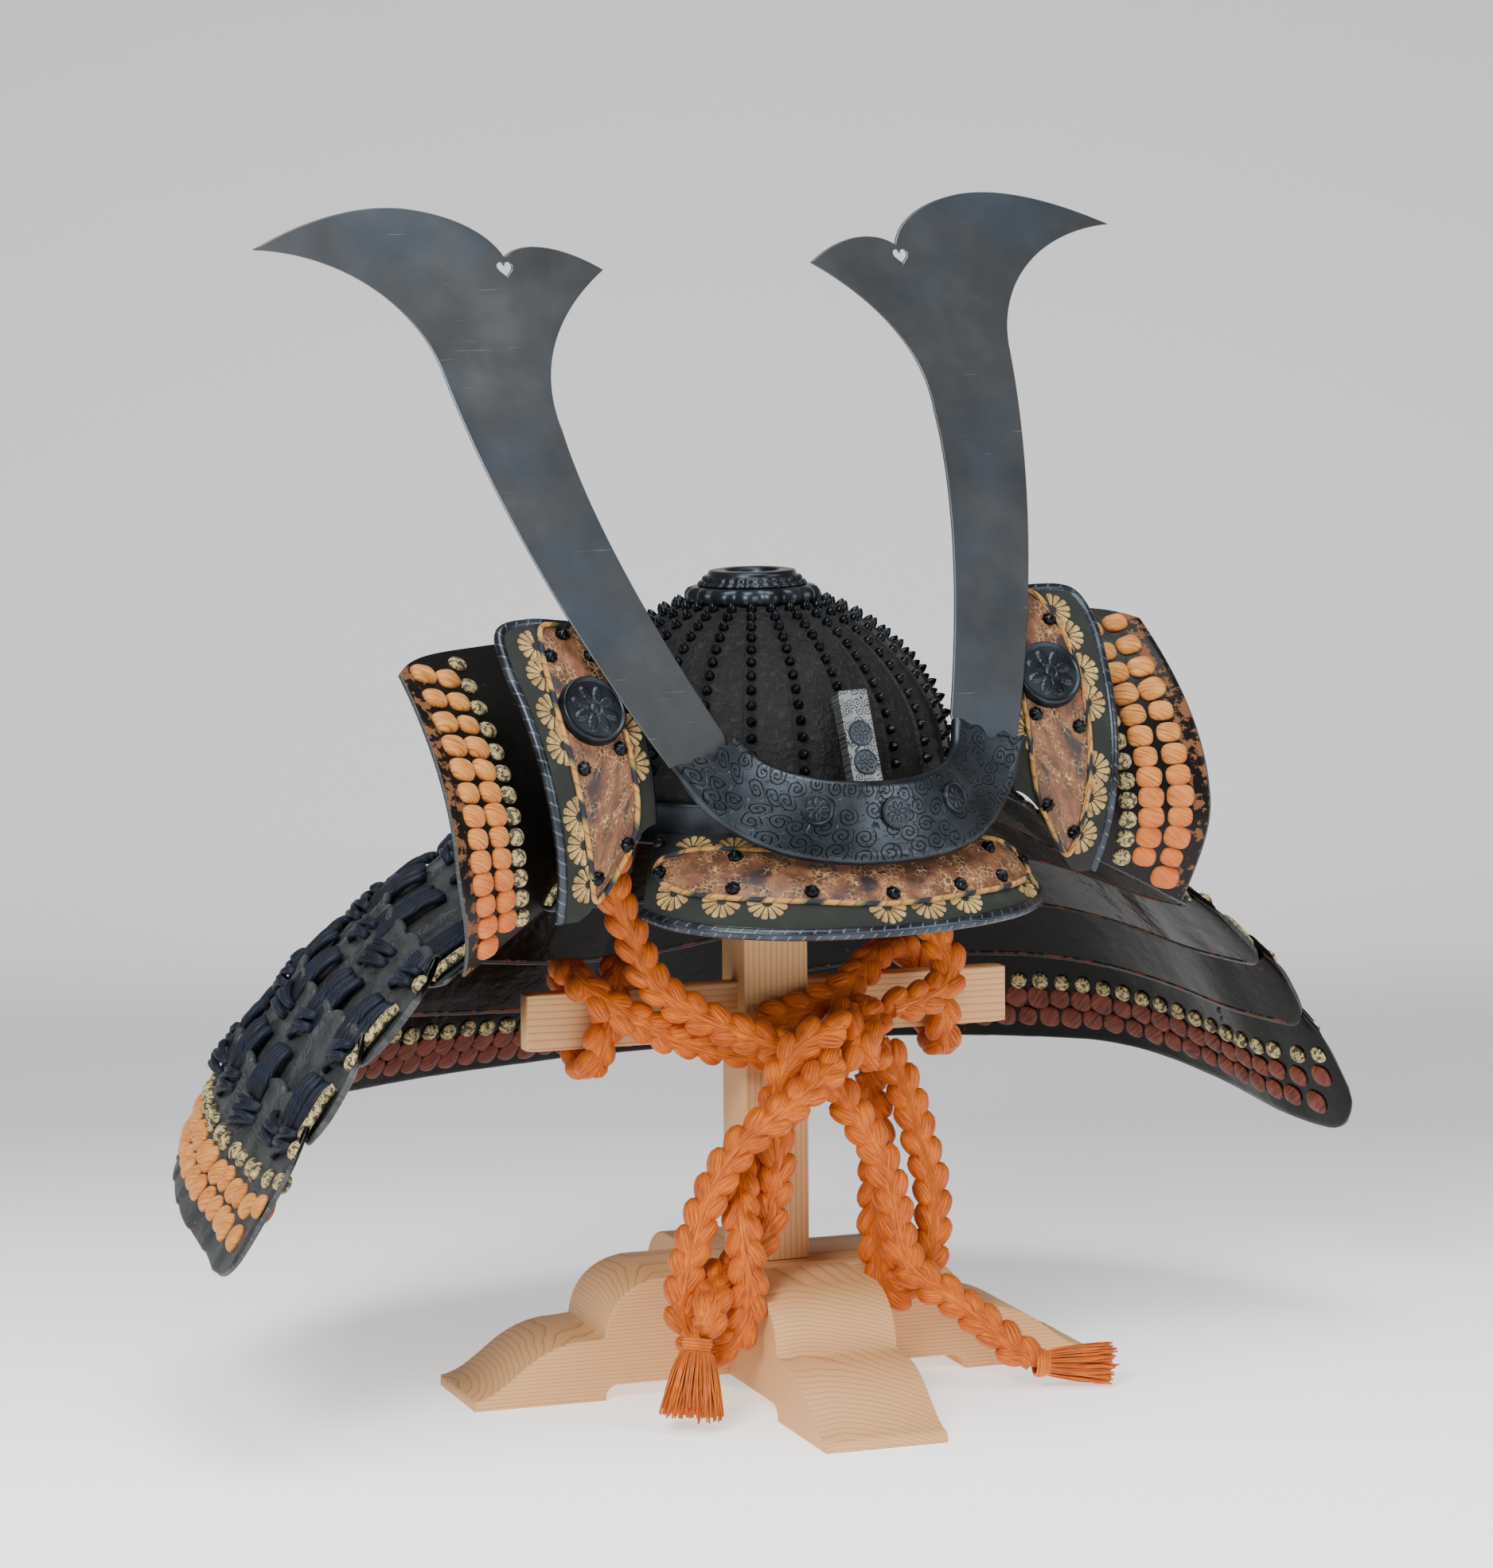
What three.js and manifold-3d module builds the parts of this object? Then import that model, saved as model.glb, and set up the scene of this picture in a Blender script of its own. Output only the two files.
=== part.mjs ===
// Samurai helmet (kabuto) with horns, turnbacks and a five-lame neck guard, on its plain wooden stand.
// Millimetres, +Z up. The helmet faces -Y; X is across it. The post of the stand is on the Z axis
// until the last lines, which move the whole group so that it stands on z = 0, centred on its box.
import * as THREE from 'three';
import { mergeVertices } from 'three/addons/utils/BufferGeometryUtils.js';
import Module from 'manifold-3d';

const wasm = await Module();
wasm.setup();

// ---------------------------------------------------------------- driving dimensions
const GAP = 0.35;                                   // space between pieces that touch

const STAND = { turn: -9.7, x: 1.5 };               // degrees and mm: the helmet sits a little turned on the stand
const HELMET = { tilt: -0.7, pivot: 400, x: 2.5 };  // and a little tilted to one side, about this height
const BEAM = { half: 189, frontHalf: 196, width: 72.5, tip: 6.2, low: 36, high: 70, foot: 78, lift: 9 };
const POST = { side: 39.2, top: 382 };
const BAR = { length: 295, bottom: 200, top: 233.3, depth: 11.8, front: -8.2 };
const REST = { radius: 58, bottom: 383, top: 436 };

const BOWL = { y: 12, wall: 2.4, plates: 24, hole: 17 };
const BOWL_PROFILE = [                              // radius and height of the shell, from the rim up
  [113.2, 327], [113.8, 345], [112.2, 366], [107.6, 388], [97.2, 407.5],
  [81, 426], [61, 441.5], [38, 452], [BOWL.hole, 456.5],
];
const BAND = { wall: 2.2, bottom: 325, top: 349 };
const CROWN = { radius: 39, bore: 18, step: 461.2, petals: 16, depth: 2.2 };
const CROWN_RING = { foot: 30, rim: 24.5, bore: 15.4, bottom: 461.6, top: 470.5 };

const VISOR = { wall: 3, arc: 57, innerZ: 331 };    // arc: half angle over which it meets the band
const VISOR_EDGE = [                                // x, y, z of half the front edge, centre to corner
  [0, -165, 286], [45, -161, 286.5], [79, -148, 287.5], [104, -126, 289], [117, -102, 291], [121.5, -77, 294],
];
const RIM = 3.4;                                    // radius of the rolled metal edges

const DAI = { wall: 8 };                            // base plate that carries the horns
const DAI_LOW = [[0, -147, 321], [32, -143.5, 322.5], [63, -131, 329], [92, -112, 347], [112.5, -98.5, 375]];
const DAI_HIGH = [[0, -139, 359.5], [22, -136.5, 360.5], [45, -125, 364], [63, -108, 372], [73, -94, 386]];
const HORN = { wall: 2, y: -90, z: 380, lean: 0.562 }; // y = HORN.y + lean (z - HORN.z) on the mid plane

const CREST = { width: 19, depth: 9, wall: 1.4, low: [-121, 352], high: [-101.5, 409] };
const DISC = { radius: 19, height: 5, x: 152, z: 403.7 };
const STUD_DISC = { radius: 9.2, height: 2.4 };

const LAME_WALL = 2.2;
const OVERLAP = 10, LAME_GAP = 5.6;
// lower edges of the five lames: share of the flare and height, at the back, side and front
const LAMES = [
  { back: [0.16, 297], side: [0.24, 312], front: [0.22, 296], frontY: -73 },
  { back: [0.35, 254], side: [0.48, 280], front: [0.53, 260], frontY: -76.5 },
  { back: [0.56, 216], side: [0.69, 242], front: [0.71, 222], frontY: -84 },
  { back: [0.78, 183], side: [0.85, 203], front: [0.835, 182], frontY: -80 },
  { back: [1.0, 146], side: [1.0, 146], front: [1.0, 119], frontY: -70 },
];
const SIDE = 0.55;                                  // where along half the guard the side measures hold
const NECK_TOP = 338;

const CORD = { diameter: 17, sides: 8 };

// ---------------------------------------------------------------- helpers
const V = (x, y, z) => new THREE.Vector3(x, y, z);
const mix = (a, b, t) => a + (b - a) * t;
const smooth = (t) => { const c = Math.min(1, Math.max(0, t)); return c * c * (3 - 2 * c); };
const rad = THREE.MathUtils.degToRad;
const curveOf = (rows) => new THREE.CatmullRomCurve3(rows.map((r) => V(...r)), false, 'centripetal');

/** Closed slab of a wall thickness about a grid of points: grid[i][j] is a Vector3. */
function slab(grid, wall) {
  const n = grid.length, m = grid[0].length;
  const at = (i, j) => grid[Math.min(n - 1, Math.max(0, i))][Math.min(m - 1, Math.max(0, j))];
  const faces = [[], []];
  for (let i = 0; i < n; i++) for (let j = 0; j < m; j++) {
    const du = at(i + 1, j).clone().sub(at(i - 1, j));
    const dv = at(i, j + 1).clone().sub(at(i, j - 1));
    const normal = du.cross(dv).normalize().multiplyScalar(wall / 2);
    faces[0].push(grid[i][j].clone().add(normal));
    faces[1].push(grid[i][j].clone().sub(normal));
  }
  const points = [...faces[0], ...faces[1]], N = n * m, index = [];
  const quad = (a, b, c, d) => index.push(a, b, c, a, c, d);
  for (let i = 0; i < n - 1; i++) for (let j = 0; j < m - 1; j++) {
    const a = i * m + j, b = (i + 1) * m + j;
    quad(a, b, b + 1, a + 1);
    quad(N + a, N + a + 1, N + b + 1, N + b);
  }
  const border = [];
  for (let i = 0; i < n - 1; i++) border.push([(i + 1) * m, i * m], [i * m + m - 1, (i + 1) * m + m - 1]);
  for (let j = 0; j < m - 1; j++) border.push([j, j + 1], [(n - 1) * m + j + 1, (n - 1) * m + j]);
  for (const [a, b] of border) quad(a, b, N + b, N + a);
  return outward(meshOf(points, index));
}

function meshOf(points, index) {
  const g = new THREE.BufferGeometry();
  g.setAttribute('position', new THREE.Float32BufferAttribute(points.flatMap((p) => [p.x, p.y, p.z]), 3));
  g.setIndex(index);
  return g;
}

/** The same closed geometry with its faces pointing out. */
function outward(g) {
  const p = g.attributes.position, ix = g.index.array;
  const a = V(0, 0, 0), b = V(0, 0, 0), c = V(0, 0, 0);
  let volume = 0;
  for (let k = 0; k < ix.length; k += 3) {
    a.fromBufferAttribute(p, ix[k]); b.fromBufferAttribute(p, ix[k + 1]); c.fromBufferAttribute(p, ix[k + 2]);
    volume += a.dot(b.cross(c));
  }
  if (volume < 0) for (let k = 0; k < ix.length; k += 3) [ix[k], ix[k + 1]] = [ix[k + 1], ix[k]];
  return g;
}

/** Tube of a round section along a curve. */
function tube(curve, radius, steps, sides = CORD.sides) {
  const section = new THREE.Shape();
  for (let k = 0; k < sides; k++) {
    const a = (2 * Math.PI * k) / sides;
    section[k ? 'lineTo' : 'moveTo'](radius * Math.cos(a), radius * Math.sin(a));
  }
  return new THREE.ExtrudeGeometry(section, { steps, extrudePath: curve, bevelEnabled: false });
}

/** Body of revolution about Z through (0, y): the profile is a closed list of [radius, height]. */
function turned(profile, segments, y = 0) {
  const pts = [...profile, profile[0]].map(([r, z]) => new THREE.Vector2(r, z));
  return new THREE.LatheGeometry(pts, segments).rotateX(Math.PI / 2).translate(0, y, 0);
}

/** Flat shape extruded along +Y from y0 to y1; the shape is drawn in x and z. */
function plateY(shape, y0, y1, curveSegments = 8) {
  const g = new THREE.ExtrudeGeometry(shape, { depth: y1 - y0, bevelEnabled: false, curveSegments });
  return g.rotateX(Math.PI / 2).translate(0, y1, 0);
}

function box(w, d, h, x, y, z) {
  return new THREE.BoxGeometry(w, d, h).translate(x, y, z);
}

function solid(geometry) {
  let g = geometry.clone();
  for (const name of Object.keys(g.attributes)) if (name !== 'position') g.deleteAttribute(name);
  g = mergeVertices(g, 1e-3);
  const ix = Array.from(g.index.array), keep = [];
  for (let k = 0; k < ix.length; k += 3)
    if (ix[k] !== ix[k + 1] && ix[k + 1] !== ix[k + 2] && ix[k] !== ix[k + 2]) keep.push(ix[k], ix[k + 1], ix[k + 2]);
  return new wasm.Manifold(new wasm.Mesh({
    numProp: 3,
    vertProperties: Float32Array.from(g.attributes.position.array),
    triVerts: Uint32Array.from(keep),
  }));
}

function geometryOf(manifold) {
  const mesh = manifold.getMesh();
  const g = new THREE.BufferGeometry();
  g.setAttribute('position', new THREE.BufferAttribute(Float32Array.from(mesh.vertProperties), 3));
  g.setIndex(Array.from(mesh.triVerts));
  return g;
}

const without = (body, ...tools) => geometryOf(tools.reduce((m, t) => m.subtract(solid(t)), solid(body)));

// ---------------------------------------------------------------- materials
const finish = (color, roughness, metalness) => new THREE.MeshStandardMaterial({ color, roughness, metalness });
const cedar = finish(0xe0b48e, 0.6, 0);
const russetIron = finish(0x2b2624, 0.55, 0.6);
const blackIron = finish(0x20262c, 0.4, 0.7);
const hornIron = finish(0x505a64, 0.4, 0.8);
const stencilledLeather = finish(0x2d3328, 0.75, 0);
const lacquer = finish(0x1c1614, 0.3, 0.1);
const tooledLeather = finish(0x33363b, 0.6, 0.1);
const crestMetal = finish(0x6c7076, 0.4, 0.7);
const orangeSilk = finish(0xd9721c, 0.6, 0);

const helmet = new THREE.Group();
const stand = new THREE.Group();
stand.rotation.z = rad(STAND.turn);
stand.position.x = STAND.x;
helmet.rotation.y = rad(HELMET.tilt);
helmet.position.set(HELMET.x - HELMET.pivot * Math.sin(rad(HELMET.tilt)), 0, HELMET.pivot * (1 - Math.cos(rad(HELMET.tilt))));
function add(name, geometry, material, group = helmet) {
  const mesh = new THREE.Mesh(geometry, material);
  mesh.name = name;
  group.add(mesh);
  return mesh;
}

// ---------------------------------------------------------------- stand
/** Side view of a beam of the cross base: two rolls, an ogee tip and a low arch underneath. */
function beamShape(half) {
  const { tip, low, high, foot, lift } = BEAM;
  const s = new THREE.Shape();
  s.moveTo(half, 0);
  s.lineTo(half, tip);
  s.bezierCurveTo(half - 22, tip + 3, half - 30, low - 3, half - 62, low);
  s.lineTo(half - 78, low + 1);
  s.bezierCurveTo(half - 80, high - 14, half - 92, high - 1, half - 116, high);
  s.lineTo(-(half - 116), high);
  s.bezierCurveTo(-(half - 92), high - 1, -(half - 80), high - 14, -(half - 78), low + 1);
  s.lineTo(-(half - 62), low);
  s.bezierCurveTo(-(half - 30), low - 3, -(half - 22), tip + 3, -half, tip);
  s.lineTo(-half, 0);
  s.lineTo(-(half - foot), 0);
  s.quadraticCurveTo(-(half - foot) + 0, lift, -(half - foot - 8), lift);
  s.lineTo(half - foot - 8, lift);
  s.quadraticCurveTo(half - foot, lift, half - foot, 0);
  s.closePath();
  return s;
}

{
  const w = BEAM.width, beam = (half) => plateY(beamShape(half), -w / 2, w / 2, 6);
  const cut = w + 2 * GAP, mid = BEAM.high / 2;
  const tenon = box(POST.side - 8, POST.side - 8, 30, 0, 0, BEAM.high - 10);
  add('base_beam_side', without(beam(BEAM.half), box(cut, cut, mid, 0, 0, mid / 2 + GAP / 2)
    , tenon), cedar, stand);
  add('base_beam_front', without(beam(BEAM.frontHalf), box(cut, cut, mid + 20, 0, 0, mid + (mid + 20) / 2 - GAP / 2))
    , cedar, stand).rotation.z = Math.PI / 2;
}
{
  const { side, top } = POST, foot = BEAM.high + GAP;
  const mortise = box(side + 2, BAR.depth + 2 * GAP, BAR.top - BAR.bottom + 2 * GAP,
    0, BAR.front + BAR.depth / 2, (BAR.top + BAR.bottom) / 2);
  add('post', without(box(side, side, top - foot, 0, 0, (top + foot) / 2), mortise), cedar, stand);
  add('crossbar', box(BAR.length, BAR.depth, BAR.top - BAR.bottom,
    0, BAR.front + BAR.depth / 2, (BAR.top + BAR.bottom) / 2), cedar, stand);
  const { radius, bottom, top: crown } = REST, rise = crown - bottom;
  const dome = [[0, bottom], [radius, bottom]];
  for (let k = 0; k < 4; k++) dome.push([radius * Math.cos(rad(22.5 * k)) , bottom + 8 + (rise - 8) * Math.sin(rad(22.5 * k))]);
  dome.push([0, crown]);
  add('head_rest', new THREE.LatheGeometry(dome.map(([r, z]) => new THREE.Vector2(r, z)), 16).rotateX(Math.PI / 2)
    , cedar, stand);
}

// ---------------------------------------------------------------- bowl and crown
{
  const outer = BOWL_PROFILE, w = BOWL.wall;
  const inner = outer.map(([r, z], i) => {
    const [r0, z0] = outer[Math.max(0, i - 1)], [r1, z1] = outer[Math.min(outer.length - 1, i + 1)];
    const dr = r1 - r0, dz = z1 - z0, l = Math.hypot(dr, dz);
    return [i === outer.length - 1 ? r : r - (w * dz) / l, i === 0 ? z : z + (w * dr) / l];
  }).filter((_, i) => i % 2 === 0).reverse();
  add('bowl', turned([...outer, ...inner], 2 * BOWL.plates, BOWL.y), russetIron);
  const r = outer[0][0] + 0.9 + GAP;
  add('bowl_band', turned([[r, BAND.bottom], [r + BAND.wall, BAND.bottom], [r + BAND.wall, BAND.top], [r, BAND.top]]
    , 32, BOWL.y), blackIron);

  const petals = new THREE.Shape(), steps = CROWN.petals * 3;
  for (let k = 0; k < steps; k++) {
    const a = (2 * Math.PI * k) / steps, q = CROWN.radius - CROWN.depth * Math.abs(Math.cos((CROWN.petals * a) / 2)) ** 3;
    petals[k ? 'lineTo' : 'moveTo'](q * Math.cos(a), q * Math.sin(a));
  }
  petals.holes.push(new THREE.Path().absarc(0, 0, CROWN.bore, 0, 2 * Math.PI, true));
  add('crown_base', without(new THREE.ExtrudeGeometry(petals, { depth: CROWN.step - 451, bevelEnabled: false, curveSegments: 16 })
    .translate(0, BOWL.y, 451), turned([[0, 440], [118, 440], [62, 441.5 + GAP], [38.2, 452.4 + GAP], [BOWL.hole, 456.9 + GAP], [0, 456.9 + GAP]], 48, BOWL.y))
    , blackIron);
  const { foot, rim, bore, bottom, top } = CROWN_RING;
  add('crown_ring', turned([[bore, bottom], [foot, bottom], [foot, bottom + 1.5], [rim + 3, top - 5],
    [rim, top - 2.6], [rim, top], [bore, top]], 24, BOWL.y), blackIron);
}

// ---------------------------------------------------------------- visor
const mirrored = (rows) => [...rows.slice(1).reverse().map(([x, y, z]) => [-x, y, z]), ...rows];
{
  const edge = curveOf(mirrored(VISOR_EDGE)), r = BOWL_PROFILE[0][0] + BAND.wall + 3.2;
  const grid = [];
  for (let i = 0; i <= 24; i++) {
    const t = i / 24, a = rad(mix(-VISOR.arc, VISOR.arc, t)), row = [];
    const from = V(r * Math.sin(a), BOWL.y - r * Math.cos(a), VISOR.innerZ), to = edge.getPointAt(t);
    for (let j = 0; j <= 4; j++) {
      const s = j / 4, p = from.clone().lerp(to, s);
      p.z += 6 * Math.sin(Math.PI * s);              // the peak is slightly arched
      row.push(p);
    }
    grid.push(row);
  }
  add('visor', slab(grid, VISOR.wall), stencilledLeather);
  const offset = curveOf(edge.getSpacedPoints(24).map((p, i, all) => {
    const inner = grid[i][3], d = p.clone().sub(inner).normalize().multiplyScalar(RIM + 1.2);
    return p.clone().add(d).toArray();
  }));
  add('visor_rim', tube(offset, RIM, 34, 6), blackIron);
}

// ---------------------------------------------------------------- horn base, horns and crest holder
let hornBaseRoom;                                   // the base plate with its clearance, for the horns behind it
{
  const low = curveOf(mirrored(DAI_LOW)), high = curveOf(mirrored(DAI_HIGH)), grid = [];
  for (let i = 0; i <= 28; i++) {
    const t = i / 28, a = low.getPointAt(t), b = high.getPointAt(t);
    grid.push([0, 0.5, 1].map((s) => a.clone().lerp(b, s)));
  }
  add('horn_base', slab(grid, DAI.wall), blackIron);
  const wide = grid.map((row) => [-0.08, 0.5, 1.08].map((t) => row[0].clone().lerp(row[2], t)));
  hornBaseRoom = slab(wide, DAI.wall + 3 * GAP);
  const disc = (name, x, side) => {
    const t = 0.5 + x, a = low.getPointAt(t), b = high.getPointAt(t), p = a.clone().lerp(b, 0.62);
    const du = low.getPointAt(t + 0.02).sub(low.getPointAt(t - 0.02)), dv = b.clone().sub(a);
    const n = du.cross(dv).normalize(); if (n.y > 0) n.negate();
    const g = new THREE.CylinderGeometry(STUD_DISC.radius - 1, STUD_DISC.radius, STUD_DISC.height, 24);
    g.applyQuaternion(new THREE.Quaternion().setFromUnitVectors(V(0, 1, 0), n));
    const q = p.addScaledVector(n, DAI.wall / 2 + STUD_DISC.height / 2 + 0.9);
    add(name, g.translate(q.x, q.y, q.z), blackIron);
  };
  disc('base_disc_left', -0.2);
  disc('base_disc_middle', 0);
  disc('base_disc_right', 0.2);
}

/** Outline of a horn in its own plane: x across and the height z, with the heart opening. */
function hornShape() {
  const s = new THREE.Shape();
  s.moveTo(113, 374);
  s.bezierCurveTo(148, 440, 178, 520, 187, 592);      // outer edge up to the waist
  s.bezierCurveTo(193, 630, 232, 658, 283, 661);      // out to the long tip
  s.bezierCurveTo(248, 677, 212, 685, 184, 681.5);    // top of the long lobe
  s.bezierCurveTo(158, 678, 136, 668, 129.6, 653);    // down into the notch
  s.bezierCurveTo(116, 663, 90, 658, 68.7, 644);      // short lobe and its tip
  s.bezierCurveTo(105, 622, 128, 592, 122.5, 556);    // inner edge down to the waist
  s.bezierCurveTo(120, 505, 97, 440, 72, 385);
  s.lineTo(76, 370);
  s.lineTo(100, 352);
  s.closePath();
  const h = new THREE.Path();                        // heart opening
  h.moveTo(131, 641.5);
  h.quadraticCurveTo(136, 645, 135.5, 648.5);
  h.quadraticCurveTo(133, 651, 131, 648.5);
  h.quadraticCurveTo(129, 651, 126.5, 648.5);
  h.quadraticCurveTo(126, 645, 131, 641.5);
  s.holes.push(h);
  return s;
}

{
  const flat = plateY(hornShape(), -HORN.wall / 2, HORN.wall / 2, 6);
  const p = flat.attributes.position;
  for (let k = 0; k < p.count; k++) {
    p.setY(k, p.getY(k) + HORN.y + HORN.lean * (p.getZ(k) - HORN.z));
  }
  for (const [name, side] of [['horn_left', -1], ['horn_right', 1]]) {
    const g = new THREE.BufferGeometry();
    g.setAttribute('position', p.clone());
    const q = g.attributes.position;
    if (side < 0) for (let k = 0; k < q.count; k += 3) {
      const xyz = [0, 1, 2].map((m) => [-q.getX(k + m), q.getY(k + m), q.getZ(k + m)]);
      [2, 1, 0].forEach((m, w) => q.setXYZ(k + w, ...xyz[m]));
    }
    add(name, without(g, hornBaseRoom), hornIron);
  }
}

{
  const [y0, z0] = CREST.low, [y1, z1] = CREST.high, length = Math.hypot(y1 - y0, z1 - z0);
  const holder = without(box(CREST.width, CREST.depth, length, 0, 0, length / 2),
    box(CREST.width - 2 * CREST.wall, CREST.depth - 2 * CREST.wall, length, 0, 0, length / 2 + CREST.wall));
  add('crest_holder', holder.rotateX(Math.atan2(y0 - y1, z1 - z0)).translate(0, y0 + CREST.depth / 2, z0), crestMetal);
}

// ---------------------------------------------------------------- neck guard and turnbacks
/** Plan curves of the neck guard, from the middle of the back (u = 0) to a front corner (u = 1). */
const planIn = curveOf([[0, 134, 0], [64, 118, 0], [109, 67, 0], [124, 12, 0], [123, -40, 0], [120, -80, 0]]);
const planOut = curveOf([[0, 270, 0], [98, 260, 0], [192, 230, 0], [268, 182, 0], [322, 116, 0],
  [345, 50, 0], [352, -8, 0], [369, -70, 0]]);
function guardPoint(u, share, z) {
  const a = planIn.getPointAt(u), b = planOut.getPointAt(u);
  return V(mix(a.x, b.x, share), mix(a.y, b.y, share), z);
}

/** Value at u of a measure given at the back, the side and the front. */
function along(u, back, side, front) {
  return u < SIDE ? mix(back, side, smooth(u / SIDE)) : mix(side, front, smooth((u - SIDE) / (1 - SIDE)));
}

function lameEdges() {
  const N = 14, lames = [];
  let previous = Array.from({ length: N + 1 }, (_, i) => guardPoint(i / N, 0, NECK_TOP));
  LAMES.forEach(({ back, side, front, frontY }, k) => {
    const tops = [], bottoms = [];
    for (let i = 0; i <= N; i++) {
      const u = i / N, drop = k === 4 ? mix(side[1], front[1], smooth((u - 0.84) / 0.16)) : 0;
      const low = guardPoint(u, along(u, back[0], side[0], front[0]), k === 4 ? drop : along(u, back[1], side[1], front[1]));
      low.y += (frontY - low.y) * (u === 1 ? 1 : 0);
      const above = previous[i];
      let high = above.clone();
      if (k > 0) {                                    // starts outside the lame above it, overlapping its edge
        const down = low.clone().sub(above).normalize();
        const normal = V(-down.x * down.z, -down.y * down.z, down.x ** 2 + down.y ** 2).normalize();
        high = above.clone().addScaledVector(normal, LAME_GAP).addScaledVector(down, -OVERLAP);
        if (i === N) high.y = above.y + (k === 1 ? 14 : 0);
      }
      tops.push(high);
      bottoms.push(low);
    }
    lames.push([tops, bottoms]);
    previous = bottoms;
  });
  return lames;
}

lameEdges().forEach(([tops, bottoms], k) => {
  const rows = [0, 0.33, 0.67, 1], n = tops.length, half = [];
  for (let i = 0; i < n; i++) half.push(rows.map((v) => {
    const p = tops[i].clone().lerp(bottoms[i], v);
    if (k >= 2 && i === n - 1) p.y += 14 * Math.abs(2 * v - 1) ** 3;    // rounded front corners
    return p;
  }));
  const other = half.slice(1).reverse().map((row) => row.map((p) => V(-p.x, p.y, p.z)));
  add(`neck_lame_${k + 1}`, slab([...other, ...half], LAME_WALL), k === 4 ? tooledLeather : lacquer);
});

/** Turnback: an upright sheet that turns back from the front edge of a lame, between an inner and an outer edge. */
function turnback({ inner, outer, low, high, yIn, yOut, rows = 8, cols = 4 }) {
  const grid = [];
  for (let j = 0; j <= rows; j++) {
    const v = j / rows, row = [];
    for (let i = 0; i <= cols; i++) {
      const s = i / cols, z = mix(low(s), high(s), v);
      row.push(V(mix(inner(z), outer(z), s), mix(yIn(z), yOut(z), s), z));
    }
    grid.push(row);
  }
  return grid;
}
const bow1 = (z) => -93.6 + (z > 340 ? 44 * ((z - 340) / 100) ** 2 : 13.6 * ((340 - z) / 50) ** 2);
const bow2 = (z) => -102 + (z > 320 ? 60 * ((z - 320) / 100) ** 2 : 15 * ((320 - z) / 50) ** 2);
const front = {
  inner: (z) => 117 + 3 * ((z - 370) / 80) ** 2,
  outer: (z) => mix(172, 190, (z - 290) / 150),
  low: (s) => mix(342, 291, smooth(s * 1.15)),
  high: (s) => 452 - 8 * (1 - s) ** 2 - 7 * s ** 8,
  yIn: (z) => bow1(z) + 11, yOut: (z) => bow1(z) + 4,
};
const rear = {
  inner: (z) => 176,
  outer: (z) => mix(235, 243, smooth((z - 270) / 60)) + 1.5 * Math.sin(((z - 270) / 160) * Math.PI),
  low: (s) => mix(307, 268, s),
  high: (s) => 436 - 7 * s ** 6,
  yIn: (z) => bow2(z) + 36, yOut: (z) => bow2(z) + 7,
};
for (const [side, sign] of [['left', -1], ['right', 1]]) {
  let room;                                         // a turnback with its clearance
  for (const [name, spec, wall, material] of [['turnback', front, 3, stencilledLeather], ['rear_turnback', rear, 2.4, lacquer]]) {
    const grid = turnback(spec).map((row) => row.map((p) => V(sign * p.x, p.y, p.z)));
    add(`${name}_${side}`, slab(grid, wall), material);
    if (name === 'turnback') {
      room = slab(grid, wall + 2.4 * GAP);
      const m = grid[0].length - 1, path = [];
      for (let i = 1; i < m; i++) path.push([grid.at(-1)[i], grid.at(-2)[i]]);
      for (let j = grid.length - 1; j >= 0; j--) path.push([grid[j][m], grid[j][m - 1]]);
      const rim = path.map(([p, q]) => p.clone().add(p.clone().sub(q).normalize().multiplyScalar(RIM * 0.8 + 2)));
      add(`turnback_rim_${side}`, without(tube(curveOf(rim.map((p) => p.toArray())), RIM * 0.8, 18, 6), room), blackIron);
    }
  }
  const slope = 0.88 * ((DISC.z - 340) / 100), y = bow1(DISC.z) + 7.6, away = 1.5 + GAP + DISC.height / 2;
  const disc = new THREE.CylinderGeometry(DISC.radius, DISC.radius * 0.6, DISC.height, 24).rotateX(-Math.atan(slope));
  const n = V(0, -1, slope).normalize().multiplyScalar(away);
  add(`turnback_disc_${side}`, without(disc.translate(sign * DISC.x, y + n.y, DISC.z + n.z), room), blackIron);
}

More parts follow.
